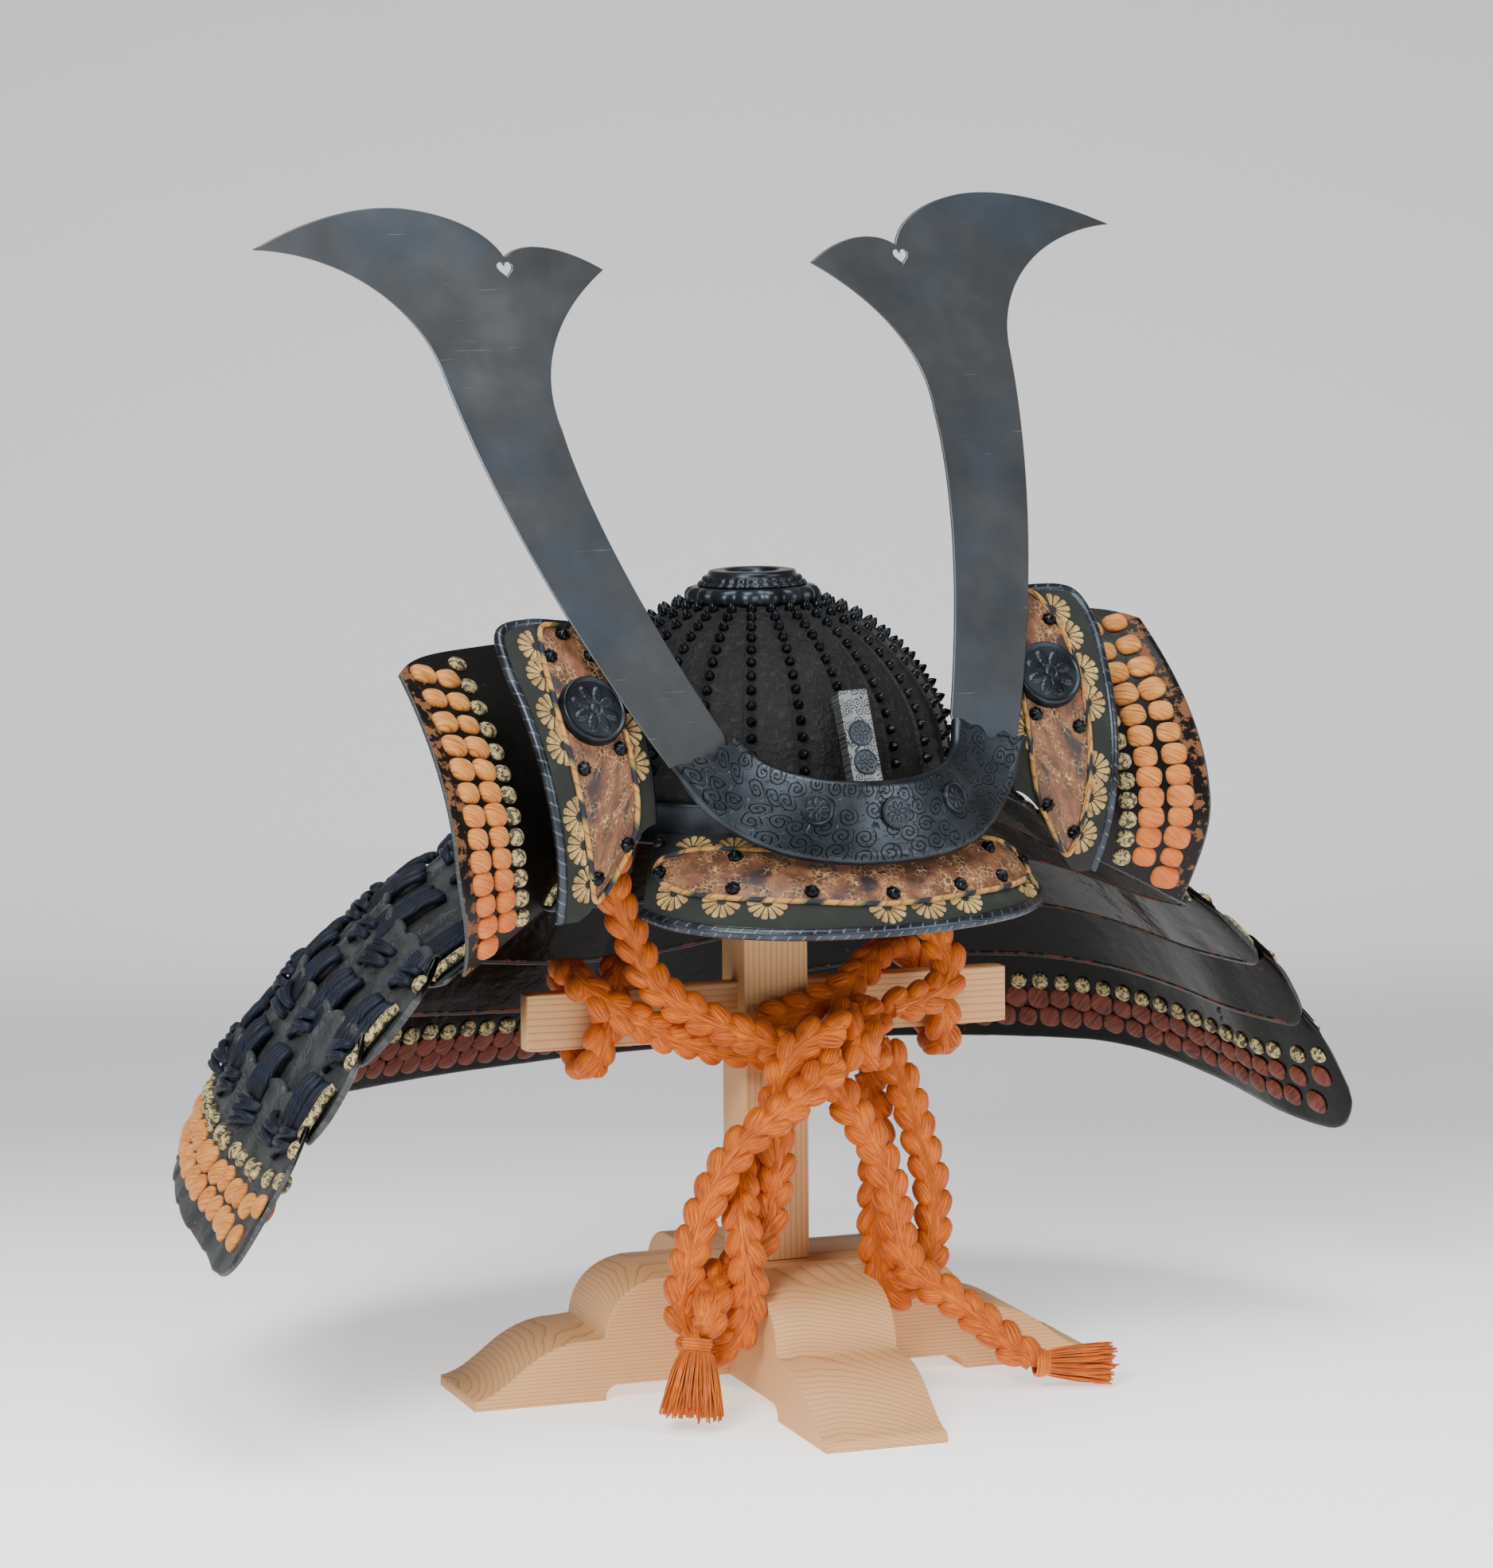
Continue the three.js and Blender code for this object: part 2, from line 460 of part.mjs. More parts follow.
// ---------------------------------------------------------------- chin cord, tied in a bow round the stand
/** Centrelines of the plaited cord in the frame of the stand. */
const CORDS = {
  // from inside the helmet down to the knot
  chin_cord_left: [[-101, -34, 322], [-105, -36, 306], [-103, -37, 291], [-97, -37, 277], [-91, -37, 262],
    [-85, -38, 247], [-73, -40, 233], [-58, -42, 223], [-42, -44, 215], [-26, -47, 208], [-13, -49, 203], [0, -51, 201]],
  chin_cord_right: [[99, -12, 322], [97, -16, 306], [94, -21, 290], [92, -25, 275], [93, -29, 261], [98, -32, 250],
    [101, -35, 240], [97, -39, 230], [86, -42, 224], [73, -45, 221], [60, -47, 219]],
  // from the knot to the left, twice round the crossbar
  cord_wrap_left: [[25, -33, 199], [15, -33, 195], [0, -33, 192], [-21, -32, 196], [-38, -31, 199], [-54, -31, 204],
    [-70, -32, 209], [-87, -34, 218], [-101, -36, 225], [-112, -33, 233], [-119, -27, 239], [-121, -18, 243],
    [-121, -7, 246], [-119, 4, 245], [-117, 12, 238], [-114, 15, 222], [-111, 14, 203], [-110, 8, 191], [-111, -3, 188],
    [-110, -15, 192], [-107, -19, 204], [-102, -19, 218], [-98, -19, 233], [-94, -13, 244], [-89, -2, 247],
    [-85, 10, 242], [-83, 15, 226], [-83, 14, 208]],
  // behind the knot, over the crossbar on the right and back under it
  cord_wrap_right: [[-16, -30, 213], [-5, -31, 215], [8, -31, 218], [22, -31, 222], [34, -30, 226], [43, -27, 232],
    [53, -20, 237], [64, -11, 244], [78, 0, 247], [91, 9, 244], [100, 14, 232], [105, 14, 214], [108, 14, 200],
    [109, 7, 190], [107, -4, 188], [105, -15, 192], [104, -19, 203], [102, -20, 214]],
  // the two loops of the bow
  bow_loop_left: [[18, -74, 195], [7, -78, 189], [-8, -84, 178], [-25, -86.5, 168], [-39, -84.5, 158], [-53, -84, 143],
    [-64, -85, 125], [-73, -86, 104], [-79, -86, 82], [-81, -85, 65], [-77, -84, 49], [-67, -88, 39], [-57, -94, 41],
    [-49, -98, 53], [-46, -99, 70], [-46, -96, 89], [-46, -88, 108], [-43, -76, 122], [-36, -62, 133], [-24, -50, 146],
    [-9, -44, 159], [6, -42, 171]],
  bow_loop_right: [[56, -39, 198], [61, -42, 190], [67, -45, 177], [73, -48, 158], [77, -51, 140], [82, -53, 119],
    [83, -55, 94], [79, -57, 71], [71, -57, 57], [61, -53, 54], [54, -49, 63], [51, -47, 81], [52, -44, 104],
    [54, -40, 126], [55, -35, 149], [54, -31, 165], [51, -28, 179]],
  // the two ends
  cord_end_left: [[22, -72, 213], [12, -71, 212], [1, -69, 207], [-9, -66, 196], [-15, -66, 180], [-18, -66, 162],
    [-17.5, -68.5, 141], [-20, -68, 120], [-24, -67, 102], [-32, -68, 89], [-45, -73, 81], [-61.5, -85, 76], [-68.5, -102.5, 67],
    [-76.5, -109.5, 55]],
  cord_end_right: [[21, -59, 181], [27, -60, 169], [35, -62, 157], [44, -64, 142], [50, -66, 126], [54, -68, 106],
    [56, -71, 87], [61, -75, 73], [71, -79, 63], [83, -83, 55], [96, -86, 44], [108, -88, 34], [118, -92, 24],
    [128, -96, 16]],
};
const CORD_STEP = { cord_wrap_left: 11, cord_wrap_right: 12, bow_loop_left: 17, cord_end_left: 18 };    // short steps where it goes round the bar
const KNOT = { x: 38, y: -50, z: 204, rx: 25, ry: 23, rz: 27 };
const TASSEL = { length: 42, head: 9.5, neck: 8, end: 15.5 };

const cordTube = (name, radius) => {
  const curve = curveOf(CORDS[name]);
  return tube(curve, radius, Math.round(curve.getLength() / (CORD_STEP[name] ?? 25)));
};
for (const name of Object.keys(CORDS)) add(name, cordTube(name, CORD.diameter / 2), orangeSilk, stand);
{
  const ball = new THREE.SphereGeometry(1, 12, 8).scale(KNOT.rx, KNOT.ry, KNOT.rz).translate(KNOT.x, KNOT.y, KNOT.z);
  const cords = Object.keys(CORDS).map((name) => cordTube(name, CORD.diameter / 2 + 0.8));
  add('cord_knot', without(ball, ...cords), orangeSilk, stand);
}
/** Tassel: a bound head that opens into a skirt of threads, from a point along a direction. */
function tassel(from, to, end = TASSEL.end) {
  const { length, head, neck } = TASSEL, start = V(...from), along = V(...to).sub(start).normalize();
  const profile = [[0, 0], [head * 0.7, 0.5], [head, 4], [neck, 8.5], [end * 0.8, length * 0.55], [end, length], [0, length]];
  const g = new THREE.LatheGeometry(profile.map(([r, h]) => new THREE.Vector2(r, h)), 12);
  return g.applyQuaternion(new THREE.Quaternion().setFromUnitVectors(V(0, 1, 0), along)).translate(...start.toArray());
}
add('tassel_left', tassel([-82.5, -111, 50.5], [-91, -117, 8]), orangeSilk, stand);
add('tassel_right', tassel([133.5, -97.5, 12], [175, -103, 12.2], 12), orangeSilk, stand);

// ---------------------------------------------------------------- out
const part = new THREE.Group();
part.add(stand, helmet);
part.updateMatrixWorld(true);
const ofCord = new Set([...Object.keys(CORDS), 'cord_knot', 'tassel_left', 'tassel_right']);
const hard = new THREE.Box3();
part.traverse((m) => { if (m.isMesh && !ofCord.has(m.name)) hard.expandByObject(m, true); });
const middle = hard.getCenter(V(0, 0, 0));
part.position.set(-middle.x, -middle.y, -hard.min.z);
export default part;
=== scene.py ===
# %% [markdown]
# # A riveted samurai helmet on its wooden stand
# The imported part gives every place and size: a bowl of overlapping plates, a horn base with two
# flat horns, a leather-faced visor, two turnbacks a side, five wide lames, an orange plaited cord
# and a plain stand. This lesson builds each surface again with numpy, finer and with its rivets,
# piping, lacing and silk, and gives every surface a material.
# Drawing lengths are in millimetres. Only `make` turns them into metres.

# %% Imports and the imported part
import math
import bpy
import numpy as np
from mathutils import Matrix, Quaternion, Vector
from mathutils.geometry import tessellate_polygon


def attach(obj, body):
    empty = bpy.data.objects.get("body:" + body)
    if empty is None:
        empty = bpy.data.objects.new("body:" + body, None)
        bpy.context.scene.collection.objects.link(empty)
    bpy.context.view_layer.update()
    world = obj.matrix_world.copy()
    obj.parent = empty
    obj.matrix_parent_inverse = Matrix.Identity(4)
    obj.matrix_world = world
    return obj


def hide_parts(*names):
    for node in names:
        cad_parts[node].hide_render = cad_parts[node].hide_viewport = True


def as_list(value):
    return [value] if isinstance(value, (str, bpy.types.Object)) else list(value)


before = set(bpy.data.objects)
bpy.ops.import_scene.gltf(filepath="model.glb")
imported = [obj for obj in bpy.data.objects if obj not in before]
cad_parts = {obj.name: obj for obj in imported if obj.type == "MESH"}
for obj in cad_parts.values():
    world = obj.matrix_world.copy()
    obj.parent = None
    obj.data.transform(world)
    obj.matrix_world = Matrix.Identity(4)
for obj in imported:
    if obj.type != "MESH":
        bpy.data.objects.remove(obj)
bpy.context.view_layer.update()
rng = np.random.default_rng(7)
SHIFT = np.array([-5.926, -35.806, 0.0])      # the drawing's origin in the part's frame, mm

# %% [markdown]
# ## The camera
# Such a helmet is best seen from a few metres through a long lens, so that the horns keep their
# proportions. The camera could be aimed with a constraint. A look direction turned into a
# quaternion is shorter, and it allows a small roll.

# %% Camera
look = Vector((0.482, 0.8677, -0.1214)).normalized()
camera = bpy.data.objects.new("camera", bpy.data.cameras.new("camera"))
bpy.context.scene.collection.objects.link(camera)
camera.rotation_mode = "QUATERNION"
camera.rotation_quaternion = look.to_track_quat("-Z", "Y") @ Quaternion((0, 0, 1), math.radians(-0.43))
camera.location = (-1.4544, -2.6260, 0.7099)
camera.data.sensor_width, camera.data.lens = 36, 118.7
camera.data.clip_start, camera.data.clip_end = 0.1, 60
bpy.context.scene.camera = camera
print("lens", camera.data.lens, "mm")

# %% [markdown]
# ## Curves and frames
# Every rim, fold and outline here is a smooth curve through a few points. Blender's own curve
# objects could draw them, but a mesh made from arrays gives full control of every vertex, so the
# curves are sampled with numpy, at even steps. The helmet and the stand were each drawn upright,
# and two functions place them.

# %% Small maths
def mix(a, b, t):
    """a at t = 0, b at t = 1, a straight line between."""
    return a + (b - a) * t


def smooth(t):
    """3t² − 2t³ between 0 and 1, flat outside."""
    c = np.clip(t, 0, 1)
    return c * c * (3 - 2 * c)


def unit(v):
    """Vectors of length 1."""
    return v / np.maximum(np.linalg.norm(v, axis=-1, keepdims=True), 1e-9)


def even(C, n):
    """n points at equal distances along the polyline C."""
    s = np.r_[0, np.cumsum(np.linalg.norm(np.diff(C, axis=0), axis=1))]
    w = np.linspace(0, s[-1], n)
    return np.stack([np.interp(w, s, C[:, k]) for k in range(C.shape[1])], 1)


def catmull(points, n, dense=40):
    """Centripetal Catmull-Rom curve through the points: knots t(i+1) = t(i) + |P(i+1) − P(i)|^½."""
    P = np.asarray(points, float)
    Q = np.vstack([2 * P[0] - P[1], P, 2 * P[-1] - P[-2]])
    out = []
    for p0, p1, p2, p3 in zip(Q, Q[1:], Q[2:], Q[3:]):
        a, b, c = (max(np.linalg.norm(v) ** 0.5, 1e-4) for v in (p1 - p0, p2 - p1, p3 - p2))
        t = np.linspace(0, b, dense, endpoint=False)[:, None]
        A1, A2, A3 = mix(p0, p1, (t + a) / a), mix(p1, p2, t / b), mix(p2, p3, (t - b) / c)
        B1, B2 = mix(A1, A2, (t + a) / (a + b)), mix(A2, A3, t / (b + c))
        out.append(mix(B1, B2, t / b))
    return even(np.vstack(out + [P[-1:]]), n)


def bezier(p0, p1, p2, p3, n=24):
    """n points of the cubic (1 − t)³ p0 + 3 (1 − t)² t p1 + 3 (1 − t) t² p2 + t³ p3, its end left out."""
    t = np.linspace(0, 1, n, endpoint=False)[:, None]
    p0, p1, p2, p3 = map(np.asarray, (p0, p1, p2, p3))
    return (1 - t) ** 3 * p0 + 3 * (1 - t) ** 2 * t * p1 + 3 * (1 - t) * t * t * p2 + t ** 3 * p3


def inward(C):
    """Unit normals of a closed outline in its plane, to the inside whichever way the outline runs."""
    T, D = unit(np.roll(C, -1, 0) - np.roll(C, 1, 0)), np.roll(C, -1, 0)
    return np.stack([-T[:, 1], T[:, 0]], 1) * np.sign(np.sum(C[:, 0] * D[:, 1] - D[:, 0] * C[:, 1]))


print("middle of a quarter turn:", catmull([(1, 0), (0.7, 0.7), (0, 1)], 3)[1].round(2))

# %% [markdown]
# ### The two drawings
# The helmet sits a little askew on its stand, and the stand's foot is turned a little against it.
# Drawing each upright keeps both symmetric and easy to read, and only the finished points are
# leaned or turned. An empty parent could do it, but the pieces are wanted unturned in their places.

# %% The two drawings
def helmet(P):
    """From the helmet's drawing to the part's frame: leaned a little about Y at 400 mm."""
    a, (x, y, z) = math.radians(-0.7), np.moveaxis(np.asarray(P, float), -1, 0)
    c, s = math.cos(a), math.sin(a)
    return np.stack([x * c + (z - 400) * s + 2.5, y, 400 - x * s + (z - 400) * c], -1) + SHIFT


def stand(P):
    """From the stand's drawing to the part's frame: turned a little about Z."""
    a, (x, y, z) = math.radians(-9.7), np.moveaxis(np.asarray(P, float), -1, 0)
    c, s = math.cos(a), math.sin(a)
    return np.stack([x * c - y * s + 1.5, x * s + y * c, z], -1) + SHIFT


print("helmet drawing's origin lands at", helmet([0, 0, 0]).round(1), "mm")

# %% [markdown]
# ## Solids as arrays
# Plates, rims and cords all come down to grids of points. They could be modelled by hand and
# dressed with modifiers. Plain arrays are chosen because thousands of points are placed at once and
# each formula can be read. A solid here is a tuple: points, a list of face arrays, and a UV in
# millimetres for every point.

# %% Building blocks
def grid_faces(n, m, around=False):
    """Quads over an n by m grid of points; around closes the second direction."""
    i, j = np.meshgrid(np.arange(n - 1), np.arange(m if around else m - 1), indexing="ij")
    k = (j + 1) % m
    return np.stack([i * m + j, (i + 1) * m + j, (i + 1) * m + k, i * m + k], -1).reshape(-1, 4)


def join(*solids):
    """Several solids as one."""
    P, F, U, at = [], [], [], 0
    for p, faces, u in solids:
        P.append(p), U.append(u), F.extend(f + at for f in faces)
        at += len(p)
    return np.vstack(P), F, np.vstack(U)


def normals(G):
    """Unit normals of a grid of points, ∂G/∂i × ∂G/∂j."""
    return unit(np.cross(np.gradient(G, axis=0), np.gradient(G, axis=1)))


def lengths(G):
    """Arc length in mm along both directions of a grid, as a UV."""
    du = np.linalg.norm(np.diff(G, axis=0), axis=2).mean(1)
    dv = np.linalg.norm(np.diff(G, axis=1), axis=2).mean(0)
    u, v = np.r_[0, np.cumsum(du)], np.r_[0, np.cumsum(dv)]
    return np.stack(np.meshgrid(u, v, indexing="ij"), -1)


print("a grid of 4 by 3 points has", len(grid_faces(4, 3)), "faces, closed round it",
      len(grid_faces(4, 3, True)))

# %% [markdown]
# ### Sheets
# Iron plates and leather-faced sheets are 2 to 4 mm thick with rounded edges. A Solidify and a
# Bevel modifier could do this. One closed ring of points per row does it exactly, and it also tells
# front, back and edge apart, so that each side takes its own material.

# %% Sheets with thickness
def slab(G, wall, rounds=4):
    """Sheet of thickness wall about a grid, its long edges rounded: at each i the section runs along the
    front, half round the edge, back along the other face and half round again. Returns the solid and,
    for every face, 0 on the front, 1 on the back and 2 on edges."""
    n, m = G.shape[:2]
    N, h = normals(G), np.broadcast_to(np.asarray(wall, float) / 2, (n, m))[..., None]
    a = (np.pi * np.arange(1, rounds) / rounds)[None, :, None]
    out, back = unit(G[:, -1] - G[:, -2])[:, None], unit(G[:, 0] - G[:, 1])[:, None]
    far = G[:, -1:] + h[:, -1:] * (N[:, -1:] * np.cos(a) + out * np.sin(a))
    near = G[:, :1] + h[:, :1] * (-N[:, :1] * np.cos(a) + back * np.sin(a))
    ring = np.concatenate([G + N * h, far, (G - N * h)[:, ::-1], near], 1)
    L, uv = ring.shape[1], lengths(G)
    UV = np.concatenate([uv, np.repeat(uv[:, -1:], rounds - 1, 1), uv[:, ::-1],
                         np.repeat(uv[:, :1], rounds - 1, 1)], 1)
    F = grid_faces(n, L, True)
    col = np.tile(np.arange(L), n - 1)
    kind = np.where(col < m - 1, 0, np.where((col >= m + rounds - 1) & (col < 2 * m + rounds - 2), 1, 2))
    j = np.arange(m - 1)
    b = 2 * m + rounds - 2 - j
    cap = np.stack([j, j + 1, b - 1, b], -1)
    tip = np.r_[m - 1, m + np.arange(rounds)][None]
    heel = np.r_[0, L - np.arange(1, rounds), 2 * m + rounds - 2][None] if rounds > 1 else None
    P, U = ring.reshape(-1, 3), UV.reshape(-1, 2)
    P, U = np.vstack([P, ring[0], ring[-1]]), np.vstack([U, UV[0], UV[-1]])
    k0, k1 = n * L, n * L + L
    faces = [F, np.vstack([cap + k0, cap[:, ::-1] + k1]), np.vstack([tip + k0, tip[:, ::-1] + k1])]
    kinds = np.r_[kind, np.full(2 * len(cap) + 2, 2)]
    if heel is not None:
        faces.append(np.vstack([heel[:, ::-1] + k0, heel + k1]))
        kinds = np.r_[kinds, 2, 2]
    return (P, faces, U), kinds


flat_sheet = slab(np.stack(np.meshgrid([0.0, 10.0], [0.0, 10.0], [0.0], indexing="ij"), -1)[:, :, 0],
                  2.0)[0]
print("a 10 mm square slab has", len(flat_sheet[0]), "points and", sum(map(len, flat_sheet[1])), "faces")

# %% [markdown]
# ### Turned bodies and tubes
# Studs and the crown are turned, and rims, piping and laces are round in section. A Screw modifier
# or a bevelled curve would also make them. A profile carried round an axis, or a circle carried
# along a path with the least twist, keeps the UV in millimetres.

# %% Turned bodies and tubes
def lathe(profile, n, centre=(0, 0), waves=None):
    """Turned body: the profile's (r, z) go round the axis; waves(angle, r, z) may change the radius."""
    r, z = np.asarray(profile, float).T
    a = np.linspace(0, 2 * np.pi, n, endpoint=False)[None]
    R = np.repeat(r[:, None], n, 1)
    if waves is not None:
        R = waves(a, R, z[:, None])
    P = np.stack([centre[0] + R * np.sin(a), centre[1] - R * np.cos(a), np.repeat(z[:, None], n, 1)], -1)
    s = np.r_[0, np.cumsum(np.hypot(np.diff(r), np.diff(z)))]
    U = np.stack(np.broadcast_arrays(a * r.max(), s[:, None]), -1)
    return P.reshape(-1, 3), [grid_faces(len(r), n, True)], U.reshape(-1, 2)


def frames_along(path):
    """Tangents and two normals along a path, turned as little as possible from point to point."""
    T = unit(np.gradient(path, axis=0))
    N = np.zeros_like(T)
    N[0] = unit(np.cross(T[0], [0.3, -1, 0.2] if abs(T[0] @ [0, 0, 1]) > 0.8 else [0, 0, 1]))
    for i in range(1, len(T)):
        N[i] = unit(N[i - 1] - T[i] * (N[i - 1] @ T[i]))
    return T, N, np.cross(T, N)


def tube(path, radius, sides=10):
    """Tube round a path, its ends closed: P = path + radius (N cos a + B sin a)."""
    path = np.asarray(path, float)
    _, N, B = frames_along(path)
    a = np.linspace(0, 2 * np.pi, sides, endpoint=False)[None, :, None]
    R = np.broadcast_to(np.asarray(radius, float), (len(path),))[:, None, None]
    P = path[:, None] + R * (np.cos(a) * N[:, None] + np.sin(a) * B[:, None])
    s = np.r_[0, np.cumsum(np.linalg.norm(np.diff(path, axis=0), axis=1))]
    U = np.stack(np.broadcast_arrays(s[:, None], a[..., 0] * R.mean()), -1)
    last = (len(path) - 1) * sides + np.arange(sides)[None]
    faces = [grid_faces(len(path), sides, True), np.vstack([np.arange(sides)[None], last[:, ::-1]])]
    return P.reshape(-1, 3), faces, U.reshape(-1, 2)


print("a straight tube has", len(tube([(0, 0, 0), (0, 0, 9), (0, 0, 20)], 2)[0]), "points")

# %% [markdown]
# ### Copies and objects
# Rivets, pads and plait turns repeat hundreds of times. Instances would be light, but one mesh for
# each row is easier to export, so copies are stacked in one array. `make` is the only place where
# arrays become a Blender mesh, and where millimetres become metres.

# %% Copies and objects
def copies(solid, O, X, Y, Z):
    """The solid at many places: each has an origin and three axes, all of shape (k, 3)."""
    P, faces, U = solid
    O, X, Y, Z = (np.broadcast_to(np.asarray(v, float), (len(O), 3))[:, None] for v in (O, X, Y, Z))
    Q = O + P[None, :, :1] * X + P[None, :, 1:2] * Y + P[None, :, 2:] * Z
    k = (np.arange(len(Q)) * len(P))[:, None, None]
    faces = [(f[None] + k).reshape(-1, f.shape[1]) for f in faces]
    offsets = rng.uniform(0, 400, (len(Q), 1))        # mm, so that no two copies show the same pattern
    return Q.reshape(-1, 3), faces, np.tile(U, (len(Q), 1)) + np.repeat(offsets, len(P), 0)


def make(name, solid, materials, slot, where=helmet, index=None, replaces=None, grain=None, flat=False):
    """A mesh object from a solid drawn in millimetres, riding on the part."""
    P, faces, U = solid
    faces = [np.asarray(f, np.int64) for f in faces]
    counts = np.concatenate([np.full(len(f), f.shape[1]) for f in faces])
    corners = np.concatenate([f.ravel() for f in faces])
    mesh = bpy.data.meshes.new(name)
    mesh.vertices.add(len(P))
    mesh.vertices.foreach_set("co", (where(P) / 1000).astype(np.float32).ravel())
    mesh.loops.add(len(corners))
    mesh.loops.foreach_set("vertex_index", corners.astype(np.int32))
    mesh.polygons.add(len(counts))
    mesh.polygons.foreach_set("loop_start", np.r_[0, np.cumsum(counts)[:-1]].astype(np.int32))
    mesh.update(calc_edges=True)
    mesh.polygons.foreach_set("use_smooth", np.full(len(counts), not flat))
    layer = mesh.uv_layers.new(name="UVMap")
    layer.data.foreach_set("uv", (U[corners] / 1000).astype(np.float32).ravel())
    if grain is not None:
        pith = mesh.attributes.new("grain", "FLOAT_VECTOR", "POINT")
        pith.data.foreach_set("vector", (grain / 1000).astype(np.float32).ravel())
    materials = materials if isinstance(materials, (list, tuple)) else [materials]
    for m in materials:
        mesh.materials.append(m)
    if index is not None:
        mesh.polygons.foreach_set("material_index", np.asarray(index, np.int32))
    mesh.validate()
    obj = bpy.data.objects.new(name, mesh)
    bpy.context.scene.collection.objects.link(obj)
    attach(obj, "root")
    if replaces:
        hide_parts(*([replaces] if isinstance(replaces, str) else replaces))
    print(f"{name:24s}{len(P):8d} points")
    return obj


# %% [markdown]
# ## Materials
# A finish is a small graph of nodes. It could be painted in the editor or made with one helper for
# each kind of node. One helper that adds any node and feeds its inputs is enough, and it keeps each
# finish to a few lines. Colours are written as sRGB hex and made linear by `rgb`. Pattern sizes are
# in millimetres.

# %% Node helper and colours
def rgb(code):
    """sRGB hex to linear RGBA."""
    c = np.array([int(code[i:i + 2], 16) for i in (1, 3, 5)]) / 255
    return (*np.where(c <= 0.04045, c / 12.92, ((c + 0.055) / 1.055) ** 2.4), 1.0)


def new_material(name):
    """An empty node material: itself, its tree and its Principled node."""
    m = bpy.data.materials.new(name)
    m.use_nodes = True
    return m, m.node_tree, m.node_tree.nodes["Principled BSDF"]


def node(t, kind, *values, out=0, stops=None, **more):
    """Adds a node, or takes the one given as kind, and returns one of its outputs. The type may carry an
    operation, as in "Math:ADD". Values go to its inputs in order, named ones to the setting or the input
    of that name. A value is a number, an sRGB hex colour or another node's output; stops fill a ramp."""
    if isinstance(kind, str):
        kind, _, operation = kind.partition(":")
        n = t.nodes.new("ShaderNode" + kind)
        if operation:
            n.operation = operation
    else:
        n = kind
    for key in [key for key in more if hasattr(n, key)]:
        setattr(n, key, more.pop(key))
    for key, value in [*enumerate(values),
                       *((key.replace("_", " "), value) for key, value in more.items())]:
        if isinstance(value, bpy.types.NodeSocket):
            t.links.new(value, n.inputs[key])
        else:
            n.inputs[key].default_value = rgb(value) if isinstance(value, str) else value
    if stops:
        points = n.color_ramp.elements
        while len(points) < len(stops):
            points.new(0.5)
        for point, (at, c) in zip(points, stops):
            point.position, point.color = at, rgb(c) if isinstance(c, str) else (c, c, c, 1)
    return n.outputs[out] if n.outputs else None


print("#808080 in linear light:", round(float(rgb("#808080")[0]), 4))

# %% [markdown]
# ### Worn iron
# The bowl is russet iron under old lacquer: matt, pitted, browner on its high points, partly where
# hands have rubbed it and partly as painted highlight, with the pits left darker as painted shade. A
# painted texture would freeze one pattern. Two scales of noise give blotches and pits at any
# distance, and the same function serves rivets and rolled edges with other numbers.

# %% Worn iron
def iron(name, dark, light, roughness, blotch=20, pit=2.0, depth=0.15, metallic=0.85, nicks=0, high=None):
    """Worn iron: blotches of two tones, pits, and the high points of the bump turned towards high, partly
    rubbed wear and partly painted highlight, which leaves the pits darker as painted shade; on rolled
    edges slanting bright nicks. blotch, pit, depth and nicks are in mm."""
    m, t, b = new_material(name)
    xyz = node(t, "TexCoord", out=3)
    tone = node(t, "TexNoise", xyz, Scale=1000 / blotch, Detail=5)
    height = node(t, "TexNoise", xyz, Scale=1000 / pit, Detail=6, Roughness=0.65)
    colour = node(t, "ValToRGB", tone, stops=[(0.35, dark), (0.68, light)])
    # Painted highlight and shade, partly rubbed wear: where the bump is high the colour goes towards high,
    # and the pits stay darker.
    if high:
        colour = node(t, "MixRGB", node(t, "ValToRGB", height, stops=[(0.52, 0.0), (0.68, 0.8)]), colour,
                      high)
    if nicks:
        u, v = (node(t, "SeparateXYZ", node(t, "TexCoord", out=2), out=k) for k in (0, 1))
        turn = node(t, "Math:ADD", node(t, "Math:MULTIPLY", u, 1000 / nicks),
                    node(t, "Math:MULTIPLY", v, 70))
        line = node(t, "ValToRGB", node(t, "Math:PINGPONG", turn, 0.5),
                    stops=[(0.0, 1.0), (0.045, 1.0), (0.09, 0.0)])
        height = node(t, "Math:SUBTRACT", node(t, "Math:MULTIPLY", height, 0.3), line)
        colour = node(t, "MixRGB", node(t, "Math:MULTIPLY", line, 0.35), colour, "#8b939c")
    node(t, b, Base_Color=colour, Metallic=metallic,
         Roughness=node(t, "Math:MULTIPLY_ADD", tone, 0.25, roughness - 0.12),
         Normal=node(t, "Bump", Height=height, Distance=depth / 1000))
    return m


print("iron: blotches, pits, rubbed high spots and, on rolled edges, nicks")

# %% [markdown]
# ### Engraved iron
# The horn base is cut with scrolling vines. They could be modelled as grooves, at the cost of
# millions of faces. The cut is 0.3 mm deep, so colour and bump are enough: a Voronoi pattern
# spreads the scrolls and polar angle and distance wind each one.

